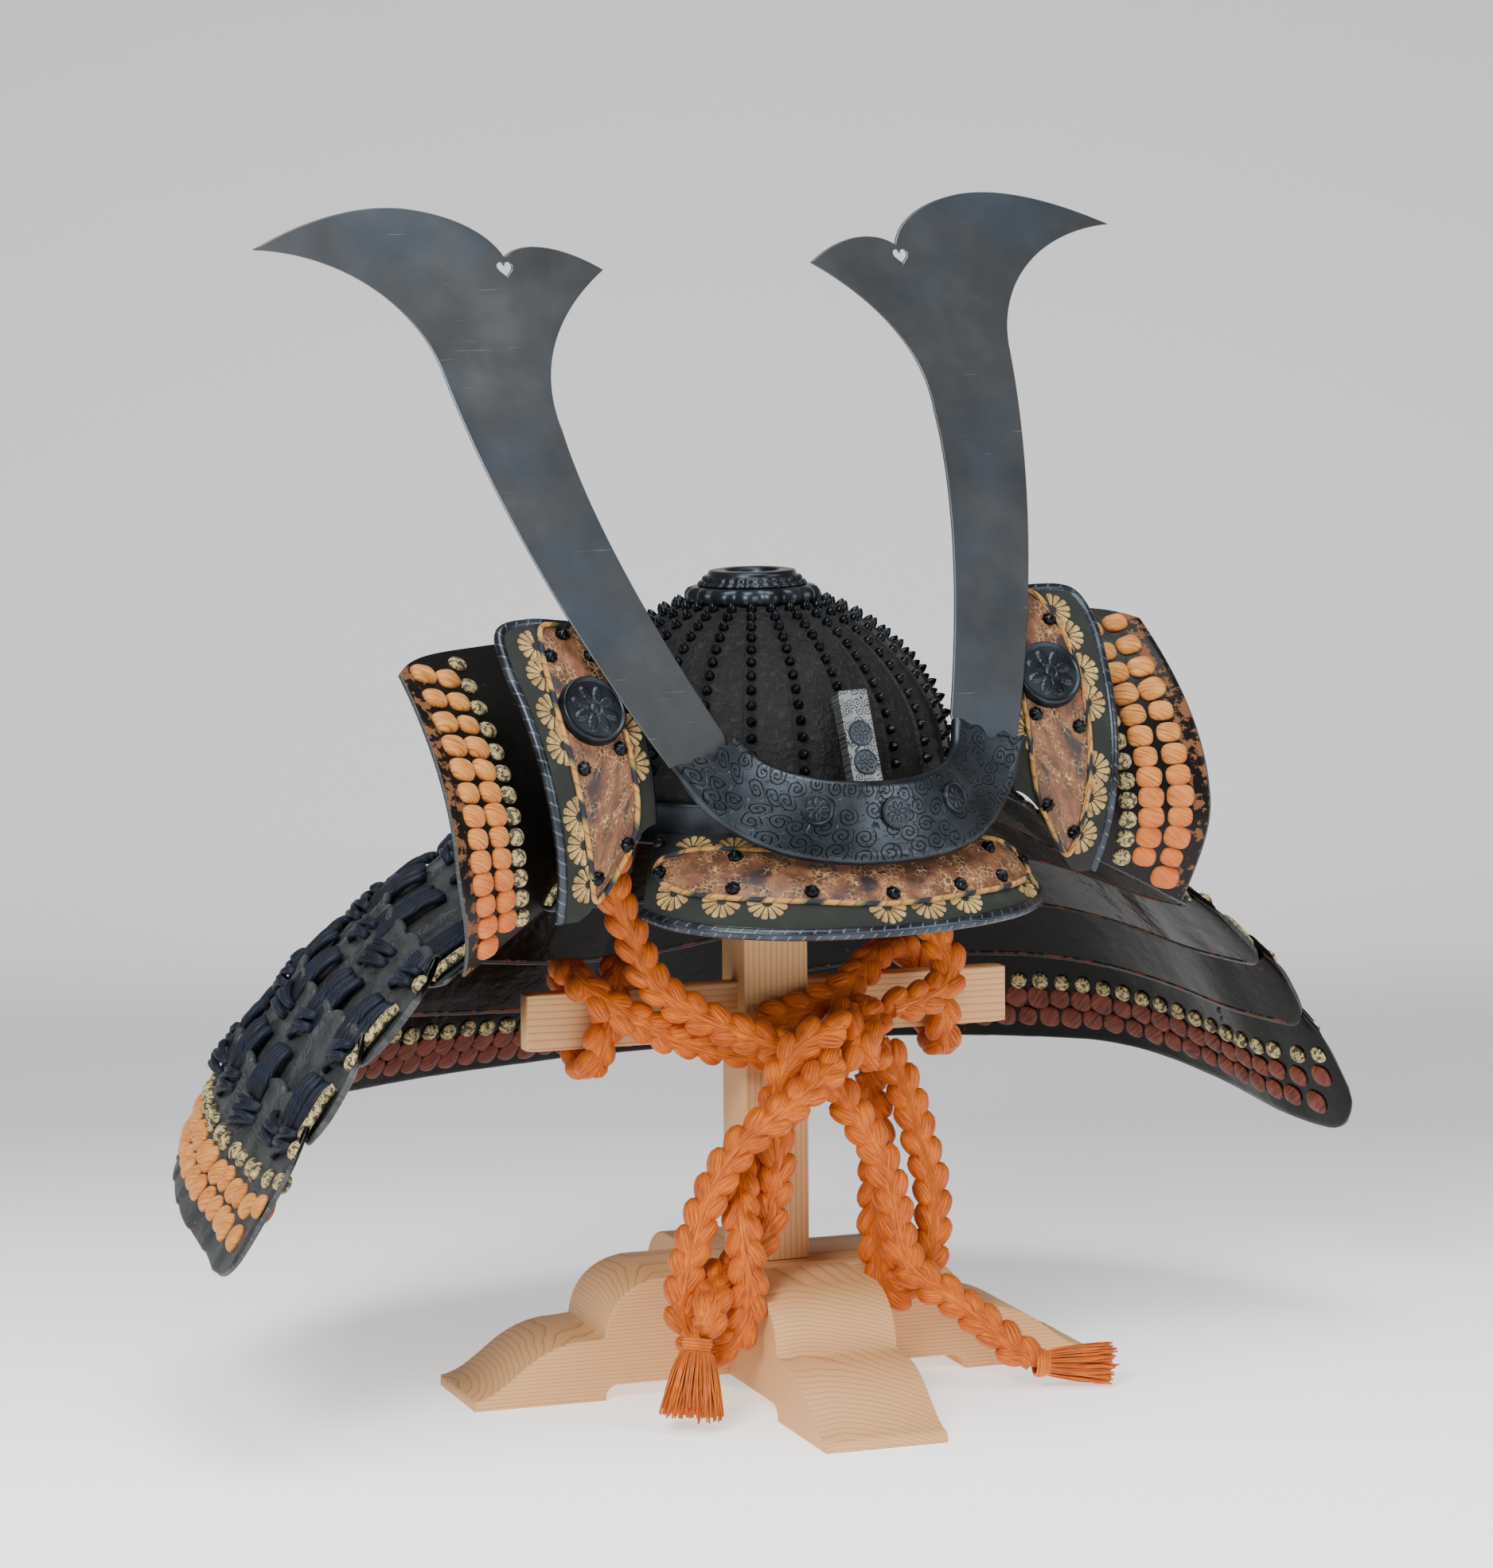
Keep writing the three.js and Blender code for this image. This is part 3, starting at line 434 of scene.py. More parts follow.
# %% Engraved iron
def engraved(name, dark, light, cut_colour, curl=6.4, roughness=0.36):
    """Satin iron with vine scrolls cut into it. Each cell of a Voronoi pattern holds one spiral:
    the line is where r / pitch − angle / 2π passes a whole number, out to a radius of curl mm."""
    m, t, b = new_material(name)
    uv = node(t, "TexCoord", out=2)
    xyz = node(t, "TexCoord", out=3)
    cells = node(t, "TexVoronoi", uv, Scale=1000 / (1.9 * curl), Randomness=0.6, voronoi_dimensions="2D")
    away = node(t, "VectorMath:SUBTRACT", uv, cells.node.outputs["Position"])
    x, y = (node(t, "SeparateXYZ", away, out=k) for k in (0, 1))
    r = node(t, "VectorMath:LENGTH", away, out=1)
    turn = node(t, "Math:DIVIDE", node(t, "Math:ARCTAN2", y, x), 2 * math.pi)
    flip = node(t, "Math:SIGN",
                node(t, "Math:SUBTRACT", node(t, "TexWhiteNoise", cells.node.outputs["Position"]), 0.5))
    spiral = node(t, "Math:PINGPONG", node(t, "Math:MULTIPLY_ADD", turn, flip,
                                           node(t, "Math:MULTIPLY", r, 1000 / (0.47 * curl))), 0.5)
    line = node(t, "ValToRGB", spiral, stops=[(0.0, 1.0), (0.09, 1.0), (0.15, 0.0)])
    within = node(t, "ValToRGB", node(t, "Math:MULTIPLY", r, 1000 / curl / 2),
                  stops=[(0.0, 1.0), (0.46, 1.0), (0.52, 0.0)])
    leaf = node(t, "ValToRGB", node(t, "TexNoise", uv, Scale=1000 / 5, Detail=1, Distortion=1.4),
                stops=[(0.60, 0.0), (0.63, 1.0), (0.66, 0.0)])
    cut = node(t, "Math:MAXIMUM", node(t, "Math:MULTIPLY", line, within), leaf)
    tone = node(t, "TexNoise", xyz, Scale=1000 / 26, Detail=5)
    colour = node(t, "MixRGB", cut, node(t, "ValToRGB", tone, stops=[(0.3, dark), (0.7, light)]),
                  cut_colour)
    height = node(t, "Math:SUBTRACT",
                  node(t, "Math:MULTIPLY", node(t, "TexNoise", xyz, Scale=1000 / 1.2, Detail=4), 0.2), cut)
    node(t, b, Base_Color=colour, Metallic=0.8,
         Roughness=node(t, "Math:MULTIPLY_ADD", tone, 0.2, roughness - 0.1),
         Normal=node(t, "Bump", Height=height, Distance=0.0003))
    return m


print("engraving: one spiral to a cell of 1.9 curls")

# %% [markdown]
# ### Blued steel
# The horns are thin steel, blued by heat, cloudy and lightly scratched. A plain grey metal looks
# like plastic, so slow clouds change the colour and roughness, and a stretched noise gives the
# brushed grain.

# %% Blued steel
def horn_steel(name):
    """Blued steel, cloudy grey with blue patches, a fine brushed grain and a few scratches."""
    m, t, b = new_material(name)
    xyz = node(t, "TexCoord", out=3)
    cloud = node(t, "TexNoise", xyz, Scale=1000 / 60, Detail=6, Roughness=0.62)
    blue = node(t, "ValToRGB", node(t, "TexNoise", xyz, Scale=1000 / 80, Detail=4, Roughness=0.6),
                stops=[(0.5, 0.0), (0.68, 0.4)])
    grey = node(t, "ValToRGB", cloud, stops=[(0.3, "#46494c"), (0.55, "#525558"), (0.75, "#5e6164")])
    grain = node(t, "TexNoise", node(t, "Mapping", xyz, Scale=(1, 1, 0.05)), Scale=1000 / 1.2, Detail=2)
    tilted = node(t, "Mapping", xyz, Rotation=(0, 0.9, 0), Scale=(0.04, 1, 1))
    marks = node(t, "ValToRGB", node(t, "TexNoise", tilted, Scale=1000 / 1.3, Detail=2),
                 stops=[(0.72, 0.0), (0.77, 1.0)])
    colour = node(t, "MixRGB", node(t, "Math:MULTIPLY", marks, 0.4),
                  node(t, "MixRGB", blue, grey, "#44586c"), "#8d9297")
    node(t, b, Base_Color=colour, Metallic=0.8, Roughness=node(t, "Math:MULTIPLY_ADD", cloud, 0.14, 0.33),
         Normal=node(t, "Bump", Height=node(t, "Math:MULTIPLY_ADD", grain, 0.5, marks), Distance=0.00003))
    return m


print("steel: clouds of 60 and 80 mm, a brushed grain of 1.2 mm")

# %% [markdown]
# ### Leather and its print
# Visor and turnbacks are faced in smoked leather, green-black with cream flowers printed through a
# stencil. The flowers are thin pieces of their own, so that their outlines stay crisp. The leather
# itself needs only a nap and faint clouds.

# %% Leather and its print
def printed_leather(name):
    """Green-black suede-like leather with faint lighter clouds, the ground of the printed fans."""
    m, t, b = new_material(name)
    uv = node(t, "TexCoord", out=2)
    fine = node(t, "TexNoise", uv, Scale=1000 / 1.6, Detail=4, Roughness=0.7)
    tone = node(t, "TexNoise", uv, Scale=1000 / 14, Detail=5, Roughness=0.6)
    ground = node(t, "ValToRGB", tone, stops=[(0.3, "#090d0b"), (0.55, "#131813"), (0.75, "#232a21")])
    node(t, b, Base_Color=node(t, "MixRGB", node(t, "Math:MULTIPLY", fine, 0.25), ground, "#2f382f"),
         Roughness=0.85,
         Normal=node(t, "Bump", Height=fine, Distance=0.0003))
    return m


def fan_print(name):
    """Cream print of the fans, worn in small specks down to the dark leather."""
    m, t, b = new_material(name)
    xyz = node(t, "TexCoord", out=3)
    worn = node(t, "ValToRGB", node(t, "TexNoise", xyz, Scale=1000 / 1.8, Detail=5, Roughness=0.75),
                stops=[(0.36, 1.0), (0.46, 0.0)])
    cream = node(t, "ValToRGB", node(t, "TexNoise", xyz, Scale=1000 / 8, Detail=3),
                 stops=[(0.35, "#9c7a48"), (0.65, "#c4a56a")])
    node(t, b, Base_Color=node(t, "MixRGB", worn, cream, "#4a4229"), Roughness=0.8)
    return m


print("leather: clouds of 14 mm, nap of 1.6 mm; fans worn in specks of 1.8 mm")

# %% [markdown]
# ### Panels and piping
# The brown panels are old patterned leather, worn to cream along its cracks, with a twisted silk cord
# round each. Cracks are the borders between Voronoi cells, bent by noise and kept to some regions.
# The twist of the cord is a stripe across the UV, which costs no geometry.

# %% Panels and piping
def panel_leather(name):
    """Brown patterned leather worn through: cracks between small cells show cream, patches are dark."""
    m, t, b = new_material(name)
    uv = node(t, "TexCoord", out=2)
    tone = node(t, "TexNoise", uv, Scale=1000 / 16, Detail=6, Roughness=0.68)
    base = node(t, "ValToRGB", tone,
                stops=[(0.3, "#33211a"), (0.47, "#65402a"), (0.6, "#86583a"), (0.74, "#a1764f")])
    dark = node(t, "ValToRGB", node(t, "TexNoise", uv, Scale=1000 / 30, Detail=5, Roughness=0.65),
                stops=[(0.53, 0.0), (0.6, 0.85)])
    shift = node(t, "VectorMath:SCALE", node(t, "TexNoise", uv, Scale=400, out=1), Scale=0.0024)
    edge = node(t, "TexVoronoi", node(t, "VectorMath:ADD", uv, shift), Scale=1000 / 3.0,
                feature="DISTANCE_TO_EDGE")
    crack = node(t, "ValToRGB", edge, stops=[(0.0, 1.0), (0.05, 0.7), (0.11, 0.0)])
    region = node(t, "ValToRGB", node(t, "TexNoise", uv, Scale=1000 / 12, Detail=4, Roughness=0.6),
                  stops=[(0.46, 0.0), (0.6, 1.0)])
    crack = node(t, "Math:MULTIPLY", crack, region)
    red = node(t, "ValToRGB", node(t, "TexNoise", uv, Scale=1000 / 8, Detail=5, Roughness=0.75),
               stops=[(0.56, 0.0), (0.68, 0.6)])
    colour = node(t, "MixRGB", red, node(t, "MixRGB", dark, base, "#1d1f24"), "#93492a")
    colour = node(t, "MixRGB", crack, colour, "#c9a470")
    height = node(t, "Math:SUBTRACT", node(t, "TexNoise", uv, Scale=1000 / 3, Detail=5), crack)
    node(t, b, Base_Color=colour, Roughness=0.55, Normal=node(t, "Bump", Height=height, Distance=0.0004))
    return m


def piping_cord(name):
    """Two-ply cord of tan silk with short navy and olive lengths. Its colours follow the twist,
    u / 9 mm + 90 v, and the groove between the plies is darkened as painted shade."""
    m, t, b = new_material(name)
    u, v = (node(t, "SeparateXYZ", node(t, "TexCoord", out=2), out=k) for k in (0, 1))
    turn = node(t, "Math:MULTIPLY_ADD", u, 1000 / 9.0, node(t, "Math:MULTIPLY", v, 90.0))
    part = node(t, "Math:FRACT", node(t, "Math:DIVIDE", turn, 3.6))
    colour = node(t, "ValToRGB", part,
                  stops=[(0.0, "#a9773f"), (0.4, "#c08d4e"), (0.48, "#131a29"), (0.7, "#161f2c"),
                                              (0.76, "#5f5f33"), (0.9, "#b58347")])
    ply = node(t, "Math:ABSOLUTE", node(t, "Math:SINE", node(t, "Math:MULTIPLY", turn, math.pi)))
    # Painted shade: the groove between the two plies is darkened towards a dark brown.
    node(t, b, Base_Color=node(t, "MixRGB", node(t, "ValToRGB", ply, stops=[(0.0, 0.7), (0.35, 0.0)]),
                               colour, "#2a1c10"),
         Roughness=0.75, Normal=node(t, "Bump", Height=ply, Distance=0.0006))
    return m


print("panels: cracks between cells of 3 mm; piping: one turn in 9 mm")

# %% [markdown]
# ### Lacquer and tooled leather
# Inside, the lames are glossy black lacquer, rubbed brown at their edges. Outside, they are covered
# in leather tooled with swirls. The swirls are level lines of a smooth noise, like the contour
# lines of a map, which never cross and never end.

# %% Lacquer and tooled leather
def lacquer(name, base="#040303", worn="#4a261a", amount=0.65, roughness=0.16, edge=0):
    """Glossy lacquer over leather, lightly wavy, rubbed through in spots and, past edge mm across,
    along the rim."""
    m, t, b = new_material(name)
    xyz = node(t, "TexCoord", out=3)
    spots = node(t, "TexNoise", xyz, Scale=1000 / 9, Detail=6, Roughness=0.7)
    if edge:
        across = node(t, "SeparateXYZ", node(t, "TexCoord", out=2), out=1)
        near = node(t, "MapRange", across, (edge - 4) / 1000, (edge + 6) / 1000, 0.0, 0.15)
        spots = node(t, "Math:ADD", spots, near)
    spots = node(t, "ValToRGB", spots, stops=[(amount, 0.0), (amount + 0.03, 1.0)])
    node(t, b, Base_Color=node(t, "MixRGB", spots, base, worn),
         Roughness=node(t, "Math:MULTIPLY_ADD", spots, 0.4, roughness),
         Specular_IOR_Level=0.2,
         Normal=node(t, "Bump", Height=node(t, "TexNoise", xyz, Scale=1000 / 16, Detail=3),
                     Distance=0.0006))
    return m


def tooled_leather(name):
    """Grey-black leather tooled all over with fine swirls: the level lines of a bent noise field."""
    m, t, b = new_material(name)
    uv = node(t, "TexCoord", out=2)
    field = node(t, "TexNoise", uv, Scale=1000 / 19, Detail=0.6, Distortion=1.2)
    line = node(t, "Math:PINGPONG", node(t, "Math:MULTIPLY", field, 13.0), 0.5)
    cut = node(t, "ValToRGB", line, stops=[(0.0, 1.0), (0.2, 0.0)])
    tone = node(t, "TexNoise", uv, Scale=1000 / 10, Detail=5, Roughness=0.65)
    colour = node(t, "MixRGB", node(t, "Math:MULTIPLY", cut, 0.5),
                  node(t, "ValToRGB", tone, stops=[(0.3, "#1e2022"), (0.7, "#3a3d40")]), "#4e4f50")
    height = node(t, "Math:SUBTRACT",
                  node(t, "Math:MULTIPLY", node(t, "TexNoise", uv, Scale=1000 / 1.1, Detail=3), 0.3), cut)
    node(t, b, Base_Color=colour, Roughness=node(t, "Math:MULTIPLY_ADD", tone, 0.3, 0.34),
         Normal=node(t, "Bump", Height=height, Distance=0.0002))
    return m


print("lacquer: rubbed spots of 9 mm; tooling: 13 level lines in a field of 19 mm")

# %% [markdown]
# ### Silk
# Laces, pads and cord are bundles of silk threads. Hair could be grown along them, but it renders
# slowly. Fine lines along the UV, a drifting tone and a soft sheen read as silk at this distance.

# %% Silk
def silk(name, dark, mid, light, thread=1.4, slant=0.0, mottle=None, sheen=0.12, lower=None, bump=0.5):
    """Laid silk threads: fine lines along the UV's first direction, tones that drift, and a soft sheen.
    Threads are drawn wider than real ones, so that they show. mottle = colours that change in patches;
    lower = (z low, z high, colour) tints what lies low. thread and bump are in mm."""
    m, t, b = new_material(name)
    uv = node(t, "Mapping", node(t, "TexCoord", out=2), Rotation=(0, 0, slant))
    xyz = node(t, "TexCoord", out=3)
    lines = node(t, "TexNoise", node(t, "Mapping", uv, Scale=(0.07, 1, 1)), Scale=1000 / thread, Detail=2.0)
    drift = node(t, "TexNoise", xyz, Scale=1000 / 14, Detail=4, Roughness=0.6)
    colour = node(t, "ValToRGB", node(t, "Math:ADD", node(t, "Math:MULTIPLY", lines, 0.7),
                                      node(t, "Math:MULTIPLY", drift, 0.3)),
                  stops=[(0.32, dark), (0.5, mid), (0.68, light)])
    if lower:
        z = node(t, "SeparateXYZ", xyz, out=2)
        colour = node(t, "MixRGB", node(t, "MapRange", z, lower[0] / 1000, lower[1] / 1000, 0.65, 0.0),
                      colour, lower[2])
    if mottle:
        patches = node(t, "ValToRGB", node(t, "TexNoise", uv, Scale=1000 / 3.2, Detail=1), stops=mottle)
        colour = node(t, "MixRGB", 0.88, colour, patches)
    node(t, b, Base_Color=colour, Roughness=0.55, Sheen_Weight=sheen, Sheen_Roughness=0.4,
         Specular_IOR_Level=0.3,
         Normal=node(t, "Bump", Height=lines, Distance=bump / 1000))
    return m


print("silk: threads of 0.9 to 1.6 mm")

# %% [markdown]
# ### Wood
# The stand is planed softwood. Its rings are distances from the pith, a line under each piece, so
# the grain runs round every corner as it does in sawn wood. Each vertex carries its place from the
# pith as an attribute.

# %% Wood
def softwood(name):
    """Planed softwood: growth rings 2.2 mm apart round the pith, thin dark late wood, fine fibres."""
    m, t, b = new_material(name)
    g = node(t, "Attribute", out=1, attribute_name="grain")
    wob = node(t, "TexNoise", node(t, "Mapping", g, Scale=(4, 25, 25)), Scale=1.0, Detail=2.0)
    r = node(t, "VectorMath:LENGTH", node(t, "Mapping", g, Scale=(0, 1, 1)), out=1)
    ring = node(t, "Math:FRACT",
                node(t, "Math:MULTIPLY_ADD", r, 1000 / 2.2, node(t, "Math:MULTIPLY", wob, 2.2)))
    colour = node(t, "ValToRGB", ring, stops=[(0.0, "#dfaa72"), (0.7, "#daa46c"), (0.88, "#c58b58"),
                                              (0.95, "#a86e40"), (1.0, "#daa46c")])
    fibre = node(t, "TexNoise", node(t, "Mapping", g, Scale=(30, 1600, 1600)), Scale=1.0, Detail=2.0)
    broad = node(t, "TexNoise", g, Scale=9.0, Detail=2.0)
    colour = node(t, "MixRGB", node(t, "Math:MULTIPLY", fibre, 0.2), colour, "#b8804e")
    colour = node(t, "MixRGB", node(t, "Math:MULTIPLY", broad, 0.3), colour, "#e2b280")
    node(t, b, Base_Color=colour, Roughness=0.62,
         Normal=node(t, "Bump", Height=node(t, "Math:ADD", ring, fibre), Distance=0.00006))
    return m


print("wood: a ring every 2.2 mm")

# %% [markdown]
# ### The finishes
# Every finish is made once, here, and named for the real material. Numbers are sizes in millimetres
# and colours are those of the worn surfaces.

# %% Finishes
# The bowl's high colour lightens the high points of its bump: partly rubbed wear, partly painted highlight.
bowl_iron = iron("russet bowl iron", "#0c0c0d", "#191919", 0.46, 26, 3.8, 2.4, 0.45, high="#342f2d")
rivet_iron = iron("polished black rivet iron", "#101316", "#20252b", 0.24, 12, 3, 0.05)
rim_iron = iron("rolled black iron edge", "#2a2f36", "#454c56", 0.34, 18, 2, 0.12, nicks=8)
plain_iron = iron("satin black iron", "#23272c", "#3a4047", 0.34, 20, 2, 0.05)
dai_iron = engraved("engraved black iron", "#2a3035", "#454c54", "#0f1215", roughness=0.36)
crest_iron = engraved("engraved grey iron", "#6c6f71", "#8b8e90", "#0f1011", curl=3.4, roughness=0.5)
steel = horn_steel("blued horn steel")
leather = printed_leather("green-black leather")
fan_cream = fan_print("cream fan print")
panel = panel_leather("worn picture leather")
piping = piping_cord("twisted silk piping")
gloss = lacquer("black lacquer")
worn_gloss = lacquer("worn turnback lacquer", "#0e0c0b", "#70492f", 0.66, 0.32, edge=80)
rubbed = lacquer("rubbed lacquer edge", "#080504", "#6a3422", 0.5, 0.3)
tooled = tooled_leather("tooled black leather")
orange = silk("orange silk", "#6e2c02", "#be5602", "#e67e0c", 0.9, bump=0.3)
pad_orange = silk("faded orange silk", "#8f4a18", "#c57f38", "#e2a658", 1.1, 0.5,
                  lower=(285, 375, "#c4521c"), bump=0.8)
pad_pale = silk("pale orange silk", "#a0561f", "#cc8038", "#e2a254", 1.1, 0.5, bump=0.8)
# The inner pads of the lowest lame are the reverse of the orange cross-knots; their dark brown-red is painted
# shade from inside the lame.
pad_orange_in_painted_shade = silk("orange silk darkened as painted shade", "#35160e", "#652c1e", "#82432e", 1.6, 0.5, sheen=0.05, bump=0.8)
knot_silk = silk("cream and teal silk", "#8c7a4c", "#b9a46b", "#d6c48e", 1.0, 0.4,
                 mottle=[(0.0, "#10161f"), (0.46, "#10161f"), (0.48, "#bfa76d"), (0.54, "#bfa76d"),
                         (0.56, "#20403f"), (0.60, "#20403f"), (0.62, "#cdb881")])
navy = silk("navy silk", "#020409", "#081020", "#14233f", 1.2, 0.3, sheen=0.03, bump=0.8)
wood = softwood("planed softwood")
# A near-black finish for sheets that stand for the shade seen in an opening: painted shade.
painted_opening_shade, t, b = new_material("painted shade in an opening")
node(t, b, Base_Color="#020202", Roughness=0.9)
print(len(bpy.data.materials), "materials")

# %% [markdown]
# ## The stand
# Such helmets are kept on a post with a cross foot of two halved beams with curved tops. Each beam
# could be a cut and bevelled box. An outline of Bézier curves carried through the wood's width
# gives the same form in one step, with a small ease on the edges.

# %% Stand
def beam_outline(half, low=36, high=69.9):
    """Side view of a beam, half of it mirrored: up the tip, over an ogee and a roll, and the arch below."""
    p = [bezier((half, 6.2), (half - 22, 9.2), (half - 30, low - 3), (half - 62, low), 16),
         bezier((half - 62, low), (half - 68, low), (half - 73, low + 0.5), (half - 78, low + 1), 4),
         bezier((half - 78, low + 1), (half - 80, high - 14), (half - 92, high - 1), (half - 116, high),
                16)]
    top = np.vstack(p)
    foot = half - 78
    under = np.vstack([[(half, 0.0)], bezier((foot, 0), (foot, 5), (foot - 3, 9), (foot - 9, 9), 8)])
    right = np.vstack([under[::-1], top])
    return np.vstack([right, right[::-1] * (-1, 1)])[::-1]


def prism(outline, width):
    """The outline drawn in x and z, carried along y, its edges eased: rings of points with small insets."""
    n = len(outline)
    w, rings = width / 2, []
    for y, inset in ((-w, 1.0), (-w + 0.3, 0.35), (-w + 1, 0), (w - 1, 0), (w - 0.3, 0.35), (w, 1.0)):
        q = outline + inward(outline) * inset
        rings.append(np.stack([q[:, 0], np.full(n, y), q[:, 1]], 1))
    P = np.vstack([*rings, rings[0], rings[-1]])
    k = np.arange(n)[None]
    return P, [grid_faces(6, n, True), np.vstack([k + 6 * n, k[:, ::-1] + 7 * n])], P[:, [0, 2]]


def bar(w, d, h, x, y, z):
    """Box with eased edges, centred at x, y, z."""
    c = np.array([[-1, -1], [1, -1], [1, 1], [-1, 1]]) * (w / 2, h / 2)
    c = np.vstack([mix(c, np.roll(c, -1, 0), t) for t in (0.02, 0.98)]).reshape(2, 4, 2).transpose(1, 0,
            2).reshape(-1, 2)
    P, F, U = prism(c, d)
    return P + (x, y, z), F, U


def wooden(name, solid, pith, turn=0, **more):
    """A wooden piece whose rings lie round a line along its length; pith is that line's place in y and z."""
    P, F, U = solid
    g = {0: P, 1: P[:, [1, 0, 2]], 2: P[:, [2, 1, 0]]}[turn]
    return make(name, solid, wood, "cedar_wood", stand, grain=g - np.array([0, *pith]), **more)


side = prism(beam_outline(189), 72.5)
front = prism(beam_outline(196, high=69.7), 72.3)
wooden("beam_side", side, (14, -160), replaces="base_beam_side")
P, F, U = front
wooden("beam_front", (P[:, [1, 0, 2]] * (-1, 1, 1), F, U), (-26, -110), turn=1, replaces="base_beam_front")
wooden("upright", bar(39.2, 39.2, 312, 0, 0, 226), (75, -80), turn=2, replaces="post")
wooden("cross_bar", bar(295, 12.2, 33.3, 0, -2.5, 216.65), (-90, 160), replaces="crossbar")
dome = [(0.01, 383), (56, 383), (58, 385.5)] + [(58 * math.cos(a), 391 + 45 * math.sin(a))
                                                for a in np.linspace(0, 1.55, 16)]
wooden("rest", lathe(dome, 64), (0, 300), replaces="head_rest")

# %% [markdown]
# ## Bowl
# The bowl is built of twenty-four overlapping iron plates held by rows of pointed rivets. Separate
# plates would leave hidden faces and gaps. One turned shell is used, with its radius stepped at
# every plate's edge, and the rivets are copies of a turned point along each column, standing along
# the shell's normal.

# %% Bowl
BOWL = [(113.2, 327), (113.8, 345), (112.2, 366), (107.6, 388), (97.2, 407.5), (81, 426), (61, 441.5),
        (38, 452), (17, 456.5)]
outer = catmull(BOWL, 90)
slope = unit(np.gradient(outer, axis=0))
across = np.stack([slope[:, 1], -slope[:, 0]], 1)
PLATES, WALL, AXIS_Y = 24, 2.4, 12.0       # AXIS_Y: the bowl's axis in the drawing, mm
inner = outer - WALL * across
STEP = 2 * np.pi / PLATES
START = 0.04                               # radians by which each plate's edge runs ahead of its rivets


def plates(a, R):
    """Every plate drops 0.7 mm from its edge bead to the next: r + 0.7 (1 − f) + bead, with f the
    place on the plate."""
    f = np.mod(a + START, STEP) / STEP
    return R + np.where(R > 20, 0.7 * (1 - f) + 0.8 * np.exp(-((f - 0.02) / 0.035) ** 2), 0)


def bowl_solid():
    """Outer profile with the plates' edges, closed by the smooth inner one, round the bowl's axis."""
    steps = np.array([0, 0.012, 0.03, 0.05, 0.075, 0.11, 0.18, 0.3, 0.45, 0.6, 0.78, 0.93, 0.985])
    a = ((np.arange(PLATES)[:, None] + steps) * STEP - START).ravel()[None]
    prof = np.vstack([outer, inner[::-1], outer[:1]])
    R = np.repeat(prof[:, :1], a.size, 1)
    R[:90] = plates(a, R[:90])
    R[-1] = R[0]
    P = np.stack([R * np.sin(a), AXIS_Y - R * np.cos(a), np.repeat(prof[:, 1:], a.size, 1)], -1)
    U = np.stack(np.broadcast_arrays(a * 100, np.arange(len(prof))[:, None]), -1)
    return P.reshape(-1, 3), [grid_faces(len(prof), a.size, True)], U.reshape(-1, 2)


make("bowl_shell", bowl_solid(), bowl_iron, "russet_iron", replaces="bowl")
band = [(115.2, 325), (117.9, 325.4), (118.3, 327), (117.6, 328.6), (117.2, 345), (118, 347),
        (117.6, 349), (115.2, 349.2), (115.2, 325)]
make("bowl_edge_band", lathe(band, 144, (0, AXIS_Y)), plain_iron, "russet_iron", replaces="bowl_band")

arc = np.r_[0, np.cumsum(np.linalg.norm(np.diff(outer, axis=0), axis=1))]
start = np.interp(366, outer[:, 1], arc)
stop = arc[np.argmin(abs(outer[:, 0] - 43.5))]
rows = np.linspace(start, stop, 13)        # thirteen rivets up each plate
r, z = (np.interp(rows, arc, outer[:, k]) for k in (0, 1))
nr, nz = (np.interp(rows, arc, across[:, k]) for k in (0, 1))
a = (np.arange(PLATES) * STEP)[:, None]
O = np.stack(np.broadcast_arrays((r + 0.4) * np.sin(a), AXIS_Y - (r + 0.4) * np.cos(a), z + 0 * a),
             -1).reshape(-1, 3)
Z = np.stack(np.broadcast_arrays(nr * np.sin(a), -nr * np.cos(a), nz + 0 * a), -1).reshape(-1, 3)
X = unit(np.cross([0, 0, 1], Z))
point = [(0.01, -0.6), (2.5, -0.6), (2.55, 0.4), (2.35, 1.5), (1.9, 2.6), (1.1, 3.7), (0.45, 4.4),
         (0.01, 4.6)]
make("bowl_rivets", copies(lathe(point, 12), O, 1.18 * X, 1.18 * np.cross(Z, X), 1.2 * Z), rivet_iron,
     "russet_iron")

# %% [markdown]
# ### Crown
# Round the vent at the top sits a fitting of several tiers, with petals below and beads above. Each
# tier could be an array of small parts. Waves added to a turned profile are simpler: −depth ·
# |cos(n a / 2)|³ for petals and depth · cos(n a) for beads, a the angle.

# %% Crown
def petalled(count, depth, low, high):
    """Waves that cut count petals, depth mm deep, into the profile between two heights."""
    return lambda a, R, z: R - np.where((z > low) & (z < high) & (R > 30),
                                        depth * abs(np.cos(count * a / 2)) ** 3, 0)


def beaded(count, depth, r0):
    """Waves that raise count beads, depth mm high, outside the radius r0."""
    return lambda a, R, z: R + np.where(R > r0, depth * np.cos(count * a), 0)


foot = [(18, 452.5), (39, 452.5), (39.6, 454), (39.4, 458), (37.5, 460.6), (34, 461.6), (18, 461.6),
        (18, 452.5)]
make("crown_petals", lathe(foot, 192, (0, AXIS_Y), petalled(16, 2.4, 450, 461)), plain_iron,
     "engraved_iron", replaces="crown_base")
tiers = [(15.4, 461.6), (31, 461.6), (31.4, 463), (30, 464.4), (28.4, 464.8), (28.8, 466), (27.6, 467.2),
         (25.6, 467.6), (25.8, 468.6),
         (24.8, 470.2), (22, 470.6), (16.5, 470.4), (15.4, 469.6), (15.4, 461.6)]
make("crown_tiers", lathe(tiers, 192, (0, AXIS_Y), beaded(32, 0.45, 27)), plain_iron, "engraved_iron",
     replaces="crown_ring")

